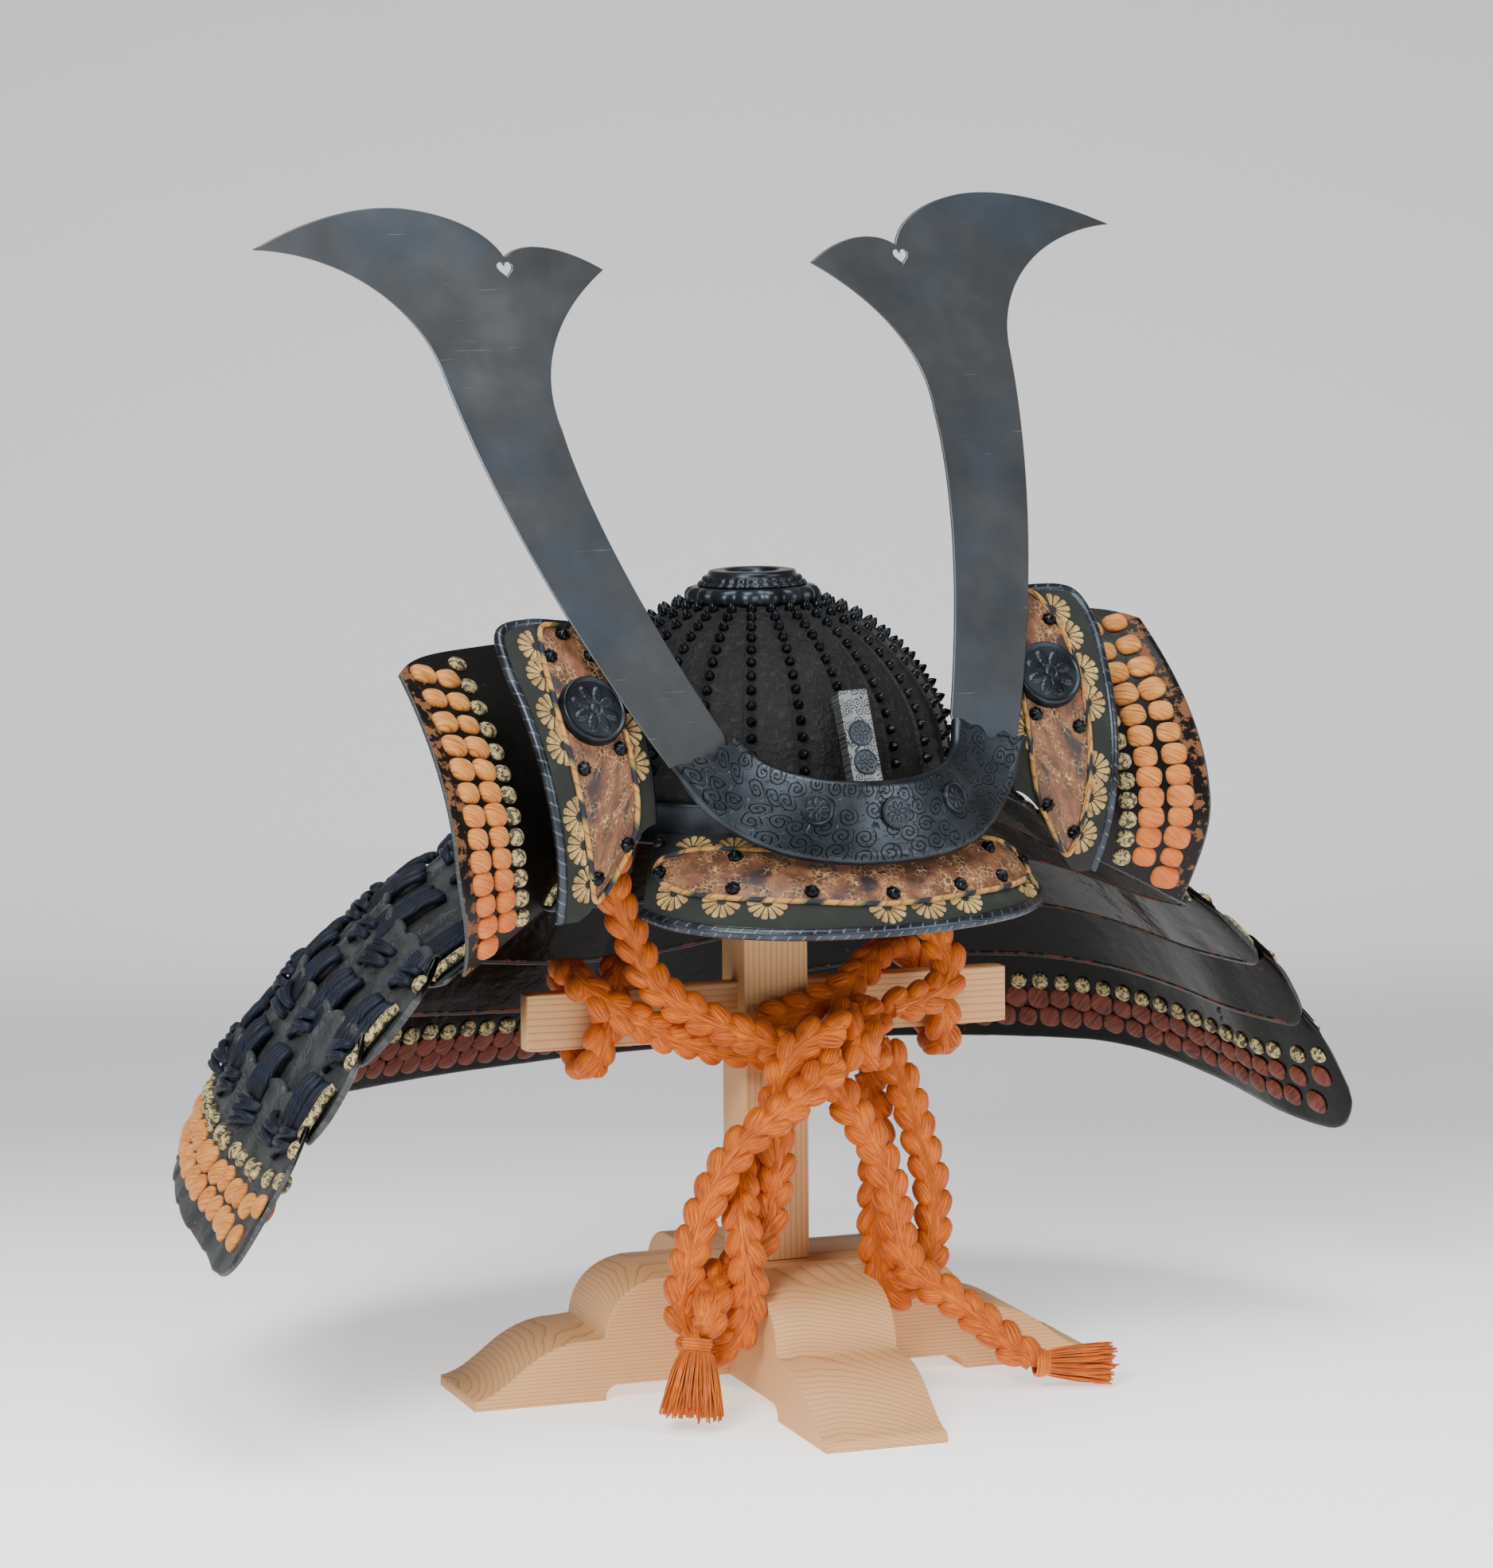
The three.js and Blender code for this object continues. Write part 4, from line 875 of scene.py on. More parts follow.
# %% [markdown]
# ## Places on a sheet
# Rivets, fans and pads have to stand on curved sheets. A Shrinkwrap or snapping would place them by
# eye. `surface` answers with a point and three directions for two numbers between 0 and 1, so every
# piece keeps its place if the sheet changes.

# %% Places on a sheet
def surface(G, sign=1):
    """place(t, s, lift) on the grid G by bilinear steps, lifted along the normal; axes(t, s) there."""
    n, m = G.shape[:2]
    N = normals(G) * sign

    def pick(A, t, s):              # the grid A between its points
        x, y = np.clip(t, 0, 1) * (n - 1), np.clip(s, 0, 1) * (m - 1)
        i, j = np.minimum(x.astype(int), n - 2), np.minimum(y.astype(int), m - 2)
        fx, fy = (x - i)[..., None], (y - j)[..., None]
        return mix(mix(A[i, j], A[i + 1, j], fx), mix(A[i, j + 1], A[i + 1, j + 1], fx), fy)

    def place(t, s, lift=0.0):      # the point, lifted off the sheet
        t, s = np.broadcast_arrays(np.asarray(t, float), np.asarray(s, float))
        return pick(G, t, s) + unit(pick(N, t, s)) * np.broadcast_to(lift, t.shape)[..., None]

    def axes(t, s):                 # along t, across it and off the sheet
        t, s = np.broadcast_arrays(np.asarray(t, float), np.asarray(s, float))
        Z = unit(pick(N, t, s))
        X = unit(place(t + 0.004, s) - place(t - 0.004, s))
        Y = unit(np.cross(Z, X))
        return np.cross(Y, Z), Y, Z

    return place, axes


def set_on(solid, surf, t, s, lift=0.0, turn=0.0, size=1.0):
    """Copies of the solid standing on the surface at (t, s), turned about its normal and scaled."""
    place, axes = surf
    t, s = np.atleast_1d(t).astype(float), np.atleast_1d(s).astype(float)
    X, Y, Z = axes(t, s)
    c, d = (np.atleast_1d(f(turn))[:, None] for f in (np.cos, np.sin))
    k = np.atleast_1d(size)[:, None]
    return copies(solid, place(t, s, lift), (X * c + Y * d) * k, (Y * c - X * d) * k, Z * k)


print("surface and set_on place a solid by two numbers")

# %% [markdown]
# ### Panels and studs
# A panel is a thin cushion of leather inside an outline, and fluted studs hold its edge down. The
# panel could be cut from the sheet, but a low patch laid over it keeps the sheet whole: its rings
# shrink to the middle and follow the sheet's curve.

# %% Panels and studs
def closed_curve(points, n):
    """Even points on a smooth curve that runs through the points and back to the first."""
    P = np.asarray(points, float)
    C = catmull(np.vstack([P[-2:], P, P[:3]]), 60 * len(P))
    i0, i1 = (np.argmin(np.linalg.norm(C[lo:hi] - P[0], axis=1)) + lo for lo,
              hi in ((0, len(C) // 3), (2 * len(C) // 3, len(C))))
    return even(C[i0:i1 + 1], n)


def patch(surf, outline, rings=14, lift=0.9):
    """Low cushion over the surface inside an outline in (t, s): rings shrink to the middle point."""
    c = outline.mean(0)
    q = np.linspace(1, 0.02, rings)[:, None, None]
    ts = c + q * (outline[None, :-1] - c)
    up = lift * (1 - q[..., 0] ** 6) + 1.6
    P = surf[0](ts[..., 0], ts[..., 1], np.broadcast_to(up, ts.shape[:2]))
    far = surf[0](np.linspace(0, 1, 9), np.full(9, 0.5))
    size = np.array([np.linalg.norm(np.diff(far, axis=0), axis=1).sum(),
                     np.linalg.norm(surf[0](0.5, 1.0) - surf[0](0.5, 0.0))])
    return P.reshape(-1, 3), [grid_faces(rings, ts.shape[1], True)], (ts * size).reshape(-1, 2)


def fluted(a, R, z):
    """Eight flutes that fade towards the point."""
    return R * (1 + np.where(z > 0.5, 0.13, 0.02) * np.cos(8 * a) * np.clip((4.4 - z) / 3, 0, 1))


flower = lathe([(0.01, -0.8), (3.9, -0.8), (4.1, 0.2), (4.0, 1.1), (3.3, 2.2), (2.1, 3.3), (0.9, 4.3),
                (0.01, 4.8)], 48, (0, 0), fluted)
button = lathe([(0.01, -0.8), (3.4, -0.8), (3.4, 0.3), (2.8, 1.7), (1.6, 2.7), (0.01, 3.1)], 20)
print("a stud has", len(flower[0]), "points, an end stud", len(button[0]))

# %% [markdown]
# ### Rosettes and fans
# Round bosses cover the ends of the ties, and printed half flowers line the panels. The boss is a
# height field over a disc, smooth steps making rim and petals. A fan is a few flat petals, thick
# enough to catch an edge of light.

# %% Rosettes and fans
def rosette(radius, thick, petals, relief):
    """Round boss with a raised rim and a low rosette: z(r, a) = dome + relief where the petals stand."""
    q, a = np.meshgrid(np.linspace(1, 0.002, 40), np.linspace(0, 2 * np.pi, 97)[:-1], indexing="ij")
    rim = smooth((q - 0.84) / 0.06) * smooth((1.0 - q) / 0.03)
    leaf = smooth((np.abs(np.cos(petals * a / 2)) ** 0.7 * 0.68 - q + 0.04) / 0.05) * smooth((q - 0.17)
            / 0.04)
    heart = smooth((0.13 - q) / 0.03)
    z = thick * (1 - 0.18 * q ** 2) * smooth((1.0 - q) / 0.05 + 0.25) + relief * (rim
            + leaf * (0.5 + 0.5 * q) + heart)
    top = np.stack([radius * q * np.cos(a), radius * q * np.sin(a), z], -1)
    base = top[:1] * (1, 1, 0)
    P = np.concatenate([base, top])
    U = P[..., :2]
    return P.reshape(-1, 3), [grid_faces(len(P), 96, True)], U.reshape(-1, 2)


def fan(radius=11.5, petals=7, lift=0.12):
    """Printed half flower, flat and 0.12 mm high. Petal j fills its sector but for a thin gap:
    r = R (0.62 + 0.38 c), angle = a_j + 0.41 step · s, with c and s the softened cosine and sine of w."""
    w = np.linspace(0, 2 * np.pi, 25)[:-1]
    c, q = (np.sign(f) * abs(f) ** 0.5 for f in (np.cos(w), np.sin(w)))
    step = np.radians(164 / (petals - 1))
    parts = []
    for a in np.radians(8) + step * np.arange(petals):
        r, angle = radius * (0.62 + 0.38 * c), a + 0.41 * step * q
        ring = np.stack([r * np.cos(angle), r * np.sin(angle)], 1)
        P = np.vstack([np.column_stack([ring, np.full(24, z)]) for z in (-0.6, lift)])
        parts.append((P, [grid_faces(2, 24, True), np.arange(24)[None] + 24], P[:, :2]))
    return join(*parts)


# Lifts off the sheet and the cord's radius, mm.
PANEL_UP, PIPING_UP, FAN_UP, STUD_UP, PIPING = 1.0, 2.4, 1.5, 2.6, 1.6


def dress(name, surf, outline, fans, turn, studs):
    """Brown panel inside an outline, a cord round it, printed fans and fluted studs, all by (t, s)."""
    outline, (t, s) = closed_curve(outline, 200), np.array(studs).T
    cord = tube(surf[0](outline[:, 0], outline[:, 1], PIPING_UP), PIPING, 10)
    make(f"{name}_panel", patch(surf, outline, lift=PANEL_UP), panel, "stencilled_leather")
    make(f"{name}_piping", cord, piping, "stencilled_leather")
    make(f"{name}_fans", set_on(fan(), surf, *fans, FAN_UP, turn=turn), fan_cream, "stencilled_leather")
    make(f"{name}_studs", set_on(flower, surf, t, s, STUD_UP), rivet_iron, "black_iron")


print("a stud has", len(flower[0]), "points, a fan", len(fan()[0]))

# %% [markdown]
# ## Visor
# The visor is a leather-faced iron sheet that springs from the bowl's band and ends in a rolled
# edge. It could be bent from a flat plane. A loft between the band and the edge curve, with a
# slight rise between them, fits both exactly.

# %% Visor
EDGE = [(0, -165, 286), (45, -161, 286.5), (79, -148, 287.5), (104, -126, 289), (117, -102, 291),
        (121.5, -77, 294)]


def mirrored(rows):
    """A half curve from the middle outwards, as a whole one from left to right."""
    rows = np.asarray(rows, float)
    return np.vstack([rows[:0:-1] * (-1, 1, 1), rows])


def visor_grid(n=161, m=33):
    """Rows from the edge band (s = 0) to the rolled edge (s = 1), raised by 6 sin πs mm between them."""
    to, a = catmull(mirrored(EDGE), n)[:, None], np.radians(np.linspace(-57, 57, n))
    r = 113.2 + 2.2 + 3.2
    start = np.stack([r * np.sin(a), AXIS_Y - r * np.cos(a), np.full(n, 331.0)], 1)[:, None]
    s = np.linspace(0, 1, m)[None, :, None]
    G = mix(start, to, s)
    G[..., 2] += 6 * np.sin(np.pi * s[..., 0])
    return G


G = visor_grid()
visor = surface(G, -1)
sheet, kinds = slab(G, 3.0)
make("visor_plate", sheet, [gloss, leather, plain_iron], "stencilled_leather", index=kinds,
     replaces="visor")
edge_out = unit(G[:, -1] - G[:, -4])
make("visor_edge", tube(even(G[:, -1] + edge_out * 3.4, 200), 3.4, 16), rim_iron, "black_iron",
     replaces="visor_rim")
outline = [(0.022, 0.60), (0.05, 0.42), (0.135, 0.27), (0.3, 0.28), (0.5, 0.28), (0.7, 0.32),
           (0.83, 0.46), (0.915, 0.66),
                        (0.955, 0.84), (0.84, 0.87), (0.645, 0.85), (0.475, 0.85), (0.33, 0.80),
                        (0.2, 0.78), (0.1, 0.77), (0.04, 0.71)]
t = np.array([0.075, 0.17, 0.25, 0.46, 0.54, 0.62, 0.80, 0.88, 0.10, 0.19])
s = np.array([0.78, 0.80, 0.80, 0.865, 0.865, 0.865, 0.885, 0.885, 0.27, 0.25])
studs = [(0.195, 0.37), (0.035, 0.63), (0.19, 0.70), (0.33, 0.72), (0.48, 0.77), (0.625, 0.77),
         (0.78, 0.53), (0.74, 0.78), (0.945, 0.85)]
dress("visor", visor, outline, (t, s), mix(-0.25, 0.25, t) + np.where(s > 0.5, np.pi, 0), studs)
make("visor_end_studs", set_on(button, visor, [0.015, 0.985], [0.23, 0.23], 1.8), plain_iron, "black_iron")

# %% [markdown]
# ## Horn base
# The horns stand in an engraved plate that is riveted over the visor. It is lofted between a low
# and a high curve, as the visor is. Its ends are cut in a curl by moving each row's start, and a
# low rim is raised along both edges.

# %% Horn base
LOW = [(0, -147, 321), (32, -143.5, 322.5), (63, -131, 329), (92, -112, 347), (112.5, -98.5, 375)]
HIGH = [(0, -139, 359.5), (22, -136.5, 360.5), (45, -125, 364), (63, -108, 372), (73, -94, 386)]


def base_grid(n=241, m=33):
    """Between a low and a high curve; each end is cut in a curl, t' = mix(c(s), 1 − c(s), t)."""
    low, high = catmull(mirrored(LOW), 801), catmull(mirrored(HIGH), 801)
    t, s = np.meshgrid(np.linspace(0, 1, n), np.linspace(0, 1, m), indexing="ij")
    curl = 0.034 * np.exp(-((s - 0.52) / 0.13) ** 2) + 0.006 * (1
                                                                - np.cos(6 * np.pi * s)) * (abs(s
            - 0.5) > 0.17)
    k = mix(curl, 1 - curl, t) * 800
    i = np.minimum(k.astype(int), 799)
    f = (k - i)[..., None]
    G = mix(mix(low[i], low[i + 1], f), mix(high[i], high[i + 1], f), s[..., None])
    return G


G = base_grid()
N = normals(G)
front_sign = -np.sign(N[120, 16, 1])
s = np.linspace(0, 1, 33)[None, :, None]
rim = 0.9 * (np.exp(-((s - 0.025) / 0.02) ** 2) + np.exp(-((s - 0.975) / 0.02) ** 2))
bulge = 1.2 * np.sin(np.pi * s)
solid, kinds = slab(G + N * front_sign * (rim + bulge) * 0.5, 7.6, 6)
make("horn_base_plate", solid, [dai_iron, dai_iron, plain_iron], "engraved_iron", index=kinds,
     replaces="horn_base")
base = surface(G, front_sign)
make("horn_base_studs", set_on(rosette(9.0, 2.2, 8, 0.5), base, [0.3, 0.5, 0.7], [0.62] * 3, 4.6,
                               turn=0.2), plain_iron, "black_iron",
     replaces=["base_disc_left", "base_disc_middle", "base_disc_right"])


def heart_curve(size):
    """x = 16 sin³ w, y = 13 cos w − 5 cos 2w − 2 cos 3w − cos 4w, times the size."""
    w = np.linspace(0, 2 * np.pi, 33)[:-1]
    return size * np.stack([16 * np.sin(w) ** 3, 13 * np.cos(w) - 5 * np.cos(2 * w) - 2 * np.cos(3 * w)
                            - np.cos(4 * w)], 1)


# Each end of the plate is pierced with a heart; a thin near-black heart laid on the plate stands for the
# shade in the opening, painted shade.
P = np.vstack([np.column_stack([heart_curve(0.24), np.full(32, z)]) for z in (-0.8, 0.25)])
heart_shade_sheet = P, [grid_faces(2, 32, True)[:, ::-1], np.arange(32)[None, ::-1] + 32], P[:, :2]
make("horn_base_hearts", set_on(heart_shade_sheet, base, [0.085, 0.915], [0.52, 0.52], 3.9), painted_opening_shade,
     "engraved_iron")


# %% [markdown]
# ## Horns
# Each horn is a flat steel plate with a heart-shaped opening near its tip. A Boolean could cut the
# opening. Filling the face between two outlines is cleaner: no stray faces, and the bevel follows
# both.

# %% Horns
def horn_outline():
    """Anticlockwise outline of one horn in its plane, and its heart opening."""
    out = [bezier((113, 374), (148, 440), (178, 520), (187, 592), 40),
           bezier((187, 592), (193, 630), (232, 658), (283, 661)),
           bezier((283, 661), (248, 677), (212, 685), (184, 681.5)),
           bezier((184, 681.5), (158, 678), (136, 668), (129.6, 653)),
           bezier((129.6, 653), (116, 663), (90, 658), (68.7, 644)),
           bezier((68.7, 644), (105, 622), (128, 592), (122.5, 556)),
           bezier((122.5, 556), (120, 505), (97, 440), (72, 385), 40), [(76, 370), (100, 352)]]
    return np.vstack(out), heart_curve(0.3) + (131, 646.5)


def horn(side):
    """Both faces are triangles between the outline and the heart; the edges carry a 0.5 mm bevel."""
    out, heart = loops = horn_outline()
    flat = [out + 0.5 * inward(out), heart - 0.5 * inward(heart)]
    tri = np.array(tessellate_polygon([[Vector((*p, 0)) for p in c] for c in flat]))
    face = np.vstack(flat)
    P, F, at = [], [], 0
    for y in (-1.0, 1.0):
        P.append(np.stack([face[:, 0], np.full(len(face), y), face[:, 1]], 1))
        F.append(tri + at)
        at += len(face)
    for C, G2 in zip(loops, flat):
        n = len(C)
        rings = [(G2, -1.0), (C, -0.6), (C, 0.6), (G2, 1.0)]
        P.append(np.vstack([np.stack([q[:, 0], np.full(n, y), q[:, 1]], 1) for q, y in rings]))
        F.append(grid_faces(4, n, True) + at)
        at += 4 * n
    P = np.vstack(P)
    P[:, 1] += -90 + 0.562 * (P[:, 2] - 380)
    P[:, 0] *= side
    return P, F, P[:, [0, 2]]


for name, side in (("left", -1), ("right", 1)):
    make(f"horn_{name}_plate", horn(side), steel, "blued_steel", replaces=f"horn_{name}", flat=True)


# %% [markdown]
# ## Crest holder
# A square socket in front of the bowl would hold a crest. It is six rounded loops, outside and in,
# leaned back with the horns, and carries two low rosettes.

# %% Crest holder
def rounded_box(w, d, r, n=8):
    """Corner-rounded rectangle, four quarter circles."""
    a = np.linspace(0, np.pi / 2, n)
    q = [np.stack([np.cos(a + k * np.pi / 2), np.sin(a + k * np.pi / 2)], 1) * r for k in range(4)]
    c = [(w / 2 - r, d / 2 - r), (-w / 2 + r, d / 2 - r), (-w / 2 + r, -d / 2 + r), (w / 2 - r, -d / 2 + r)]
    return np.vstack([p + o for p, o in zip(q, c)])


def crest_holder():
    """Six loops up the outside and down the inside of the socket, leaned back about its foot."""
    L = math.hypot(19.5, 57)
    loops = [(19, 9, 0.8, 0), (19, 9, 0.8, L - 0.6), (18.2, 8.2, 0.6, L), (16.6, 6.6, 0.5, L),
             (16.2, 6.2, 0.4, L - 0.6), (16.2, 6.2, 0.4, 2)]
    P = np.vstack([np.column_stack([rounded_box(w, d, r), np.full(32, z)]) for w, d, r, z in loops])
    k = np.arange(32)[None]
    a = -math.atan2(19.5, 57)
    U = P[:, [0, 2]]
    y, z = P[:, 1] * math.cos(a) - P[:, 2] * math.sin(a), P[:, 1] * math.sin(a) + P[:, 2] * math.cos(a)
    return np.column_stack([P[:, 0], y - 116.5, z + 352]), [grid_faces(6, 32, True),
                                                            np.vstack([k, k[:, ::-1] + 160])], U


make("crest_socket", crest_holder(), crest_iron, "engraved_iron", replaces="crest_holder", flat=True)
lean = math.atan2(19.5, 57)
up, out = np.array([0, math.sin(lean), math.cos(lean)]), np.array([0, -math.cos(lean), math.sin(lean)])
places = np.array([[0, -116.5, 352] + up * h + out * 4.4 for h in (18.5, 35)])
make("crest_roundels", copies(rosette(7.4, 0.5, 8, 0.45), places, [1, 0, 0], up, out), plain_iron,
     "engraved_iron")

# %% [markdown]
# ## Turnbacks
# The front ends of the two upper lames turn back beside the face. Folding the lames themselves
# would bind both shapes together, so each turnback is a sheet of its own: a height along v, a width
# along s and a bow in depth that depends on the height.

# %% Turnback sheets
def bow1(z):
    """Depth of the front turnbacks at height z: a parabola on each side of 340 mm."""
    return -93.6 + np.where(z > 340, 44 * ((z - 340) / 100) ** 2, 13.6 * ((340 - z) / 50) ** 2)


def bow2(z):
    """Depth of the rear turnbacks at height z: a parabola on each side of 320 mm."""
    return -102 + np.where(z > 320, 60 * ((z - 320) / 100) ** 2, 15 * ((320 - z) / 50) ** 2)


def front_grid(side, n=97, m=33):
    """Front turnback: v runs up, s outwards."""
    v, s = np.meshgrid(np.linspace(0, 1, n), np.linspace(0, 1, m), indexing="ij")
    z = mix(mix(342, 291, smooth(s * 1.15)), 452 - 8 * (1 - s) ** 2 - 7 * s ** 8, v)
    x = mix(117 + 3 * ((z - 370) / 80) ** 2, mix(172, 190, (z - 290) / 150), s)
    return np.stack([side * x, bow1(z) + mix(11, 4, s), z], -1)


def rear_grid(side, n=97, m=33):
    """Rear turnback: v runs up, s outwards."""
    v, s = np.meshgrid(np.linspace(0, 1, n), np.linspace(0, 1, m), indexing="ij")
    z = mix(mix(307, 268, s), 436 - 7 * s ** 6, v)
    x = mix(160.0, mix(235, 243, smooth((z - 270) / 60)) + 1.5 * np.sin((z - 270) / 160 * np.pi), s)
    return np.stack([side * x, bow2(z) + mix(43, 7, s), z], -1)


def pad_shape(w, d, h, power=2.6, n=24, rings=9):
    """Rounded silk pad: |x/w|^p + |y/d|^p = 1 in plan, domed; UV in its own plan."""
    a = np.linspace(0, 2 * np.pi, n, endpoint=False)[None]
    q = np.sin(np.linspace(np.pi / 2, 0.03, rings))[:, None]
    up = h * np.cos(np.arcsin(q)) ** 0.8
    k = (abs(np.cos(a)) ** power + abs(np.sin(a)) ** power) ** (-1 / power)
    top = np.stack([w / 2 * q * k * np.cos(a), d / 2 * q * k * np.sin(a), up + 0 * a], -1)
    P = np.concatenate([top[:1] * (0.9, 0.9, 0) - (0, 0, 0.4), top])
    return P.reshape(-1, 3), [grid_faces(len(P), n, True)], P[..., :2].reshape(-1, 2)


def twist_pad(w, d, h, n=4):
    """Knot of a few short cords side by side, lying askew."""
    parts = []
    for k in range(n):
        y = mix(-d / 2 + d / n / 2, d / 2 - d / n / 2, k / (n - 1))
        x = np.linspace(-w / 2, w / 2, 9)
        up = h * (1 - (2 * x / w) ** 4) * (1 - 0.25 * (2 * y / d) ** 2)
        parts.append(tube(np.stack([x, y + 0.25 * x * (1 if k % 2 else -0.2), up - 0.6], 1), d / n * 0.62,
                          8))
    return join(*parts)


print("bow of the turnbacks at 400 mm:", round(float(bow1(400)), 1), round(float(bow2(400)), 1), "mm")

# %% [markdown]
# ### Dressing the turnbacks
# The front pair is faced in leather with panel, fans, studs, a boss and a rolled edge. The pair
# behind it is lacquered, with two columns of orange silk pads and one of small knots. Small random
# turns and sizes keep the rows from looking stamped.

# %% Turnbacks
ROW, OUTER, INNER, KNOTS = 13, 0.815, 0.625, 0.47     # pads in a column, and each column's place
PAD_UP = 1.1                                        # lift off the sheet, mm
pads = pad_shape(15.6, 13.2, 4.6, 2.8)
knots = pad_shape(11.4, 10.2, 3.6, 2.2)

for name, side in (("left", -1), ("right", 1)):
    G = front_grid(side)
    sign = -side
    surf = surface(G, sign)
    solid, kinds = slab(G, 3.0)
    faces = [leather, gloss, plain_iron] if side < 0 else [gloss, leather, plain_iron]
    make(f"turnback_{name}_plate", solid, faces, "stencilled_leather", index=kinds,
         replaces=f"turnback_{name}")
    top, out = np.linspace(0.1, 1, 30), np.linspace(1, 0, 70)
    edge = np.vstack([surf[0](np.ones(30), top) + unit(surf[0](1.0, 0.5) - surf[0](0.95, 0.5)) * 2.2,
                      surf[0](out, np.ones(70)) + np.array([side * 2.2, 0, 0])])
    make(f"turnback_{name}_edge", tube(even(catmull(edge[::9], 160), 150), 3.0, 14), rim_iron,
         "black_iron", replaces=f"turnback_rim_{name}")
    outline = [(0.985, 0.20), (0.99, 0.58), (0.93, 0.66), (0.85, 0.72), (0.7, 0.77), (0.5, 0.78),
               (0.3, 0.76), (0.14, 0.72), (0.03, 0.66),
                            (-0.0, 0.45), (0.03, 0.26), (0.13, 0.20), (0.35, 0.19), (0.6, 0.19),
                            (0.85, 0.17)]
    v = np.array([0.93, 0.84, 0.72, 0.61, 0.37, 0.27, 0.12, 0.78, 0.52, 0.36])
    s = np.array([0.70, 0.74, 0.79, 0.80, 0.80, 0.79, 0.74, 0.19, 0.19, 0.19])
    studs = [(0.965, 0.43), (0.89, 0.63), (0.87, 0.27), (0.51, 0.68), (0.46, 0.28), (0.06, 0.33),
             (0.115, 0.66)]
    dress(f"turnback_{name}", surf, outline, (v, s), np.where((s > 0.5) == (side > 0), np.pi, 0), studs)
    make(f"turnback_{name}_boss",
         set_on(rosette(20.3, 6.2, 8, 1.1), surf, [0.665], [0.46], 1.6, turn=0.3), plain_iron, "black_iron",
         replaces=f"turnback_disc_{name}")

    G = rear_grid(side)
    surf = surface(G, sign)
    solid, kinds = slab(G, 2.4)
    faces = [worn_gloss, tooled, tooled] if side < 0 else [tooled, worn_gloss, tooled]
    make(f"rear_turnback_{name}_plate", solid, faces, "black_lacquer", index=kinds,
         replaces=f"rear_turnback_{name}")
    v = (np.arange(ROW) + 0.5) / 13.3 + 0.012           # up the outer column
    both = np.concatenate([v, v[:-1] + 0.5 / 13.3])     # and half a step on, up the inner one
    columns = np.r_[np.full(ROW, OUTER), np.full(ROW - 1, INNER)]
    solid = set_on(pads, surf, both, columns, PAD_UP, turn=np.pi / 2 + rng.normal(0, 0.12, 2 * ROW - 1),
                   size=rng.normal(1, 0.05, 2 * ROW - 1))
    make(f"rear_turnback_{name}_pads", solid, pad_orange, "orange_silk")
    solid = set_on(knots, surf, v, np.full(ROW, KNOTS), PAD_UP, turn=np.pi / 2 + rng.normal(0, 0.15, ROW))
    make(f"rear_turnback_{name}_knots", solid, knot_silk, "orange_silk")

# %% [markdown]
# ## Neck guard
# Five wide lames flare from the bowl, each hanging outside the one above it. They could be one
# bell-shaped sheet cut into bands, but then none would overlap. Edges drawn in plan between an
# inner and an outer line, with a height of their own, give each lame its own slope and corner.

# %% Lame edges
PLAN_IN = [(0, 134), (64, 118), (109, 67), (124, 12), (123, -40), (120, -80)]
PLAN_OUT = [(0, 270), (98, 260), (192, 230), (268, 182), (322, 116), (345, 50), (352, -8), (369, -70)]
LAMES = [((0.16, 297), (0.24, 312), (0.22, 296), -73), ((0.35, 254), (0.48, 280), (0.53, 260), -76.5),
         ((0.56, 216), (0.69, 242), (0.71, 222), -84), ((0.78, 183), (0.85, 203), (0.835, 182), -80),
         ((1.0, 146), (1.0, 146), (1.0, 119), -70)]
SIDE = 0.55                                # the side's place between back (0) and front corner (1)
GAP, LAP = 5.6, 10.0                       # a lame stands off the one above it and laps it, mm
WALL = 2.2


def along(u, back, side, corner):
    """A value that eases from the back to the side and on to the front corner."""
    return np.where(u < SIDE, mix(back, side, smooth(u / SIDE)),
                    mix(side, corner, smooth((u - SIDE) / (1 - SIDE))))


def lame_edges(n=169):
    """Top and bottom edge of half of each lame, from the middle of the back to the front corner. Each starts
    outside the one above it, GAP off along the normal and LAP back up the slope."""
    u = np.linspace(0, 1, n)
    a, b = (catmull(np.pad(np.array(c, float), ((0, 0), (0, 1))), n) for c in (PLAN_IN, PLAN_OUT))
    above = a * (1, 1, 0) + (0, 0, 338)
    corner = np.clip((u - 13 / 14) * 14, 0, 1)
    for k, (back, side, front_, y) in enumerate(LAMES):
        share = along(u, back[0], side[0], front_[0])[:, None]
        z = along(u, back[1], side[1], front_[1]) if k < 4 else mix(side[1], front_[1] - 9,
                smooth((u - 0.6) / 0.38))
        if k == 4:
            share = share * (1 + 0.035 * smooth((u - 0.55) / 0.35))[:, None]
        low = np.column_stack([mix(a, b, share)[:, :2], z])
        low[:, 1] += (y - low[:, 1]) * corner
        high = above.copy()
        if k:
            down = unit(low - above)
            flat2 = down[:, 0] ** 2 + down[:, 1] ** 2
            up = unit(np.column_stack([-down[:, 0] * down[:, 2], -down[:, 1] * down[:, 2], flat2]))
            high = above + up * GAP - down * LAP
            high[:, 1] = mix(high[:, 1], above[:, 1] + (14 if k == 1 else 0), corner)
        yield high, low
        above = low


print("lame edges start at:", [np.round(high[0], 1).tolist() for high, low in lame_edges()])

# %% [markdown]
# ### Plates of a lame
# A lame looks like a row of narrow plates with scalloped tops, laid over one another and lacquered.
# They are not modelled one by one: a saw-tooth in thickness along the lame and half circles along
# its top edge give the same relief in one sheet.

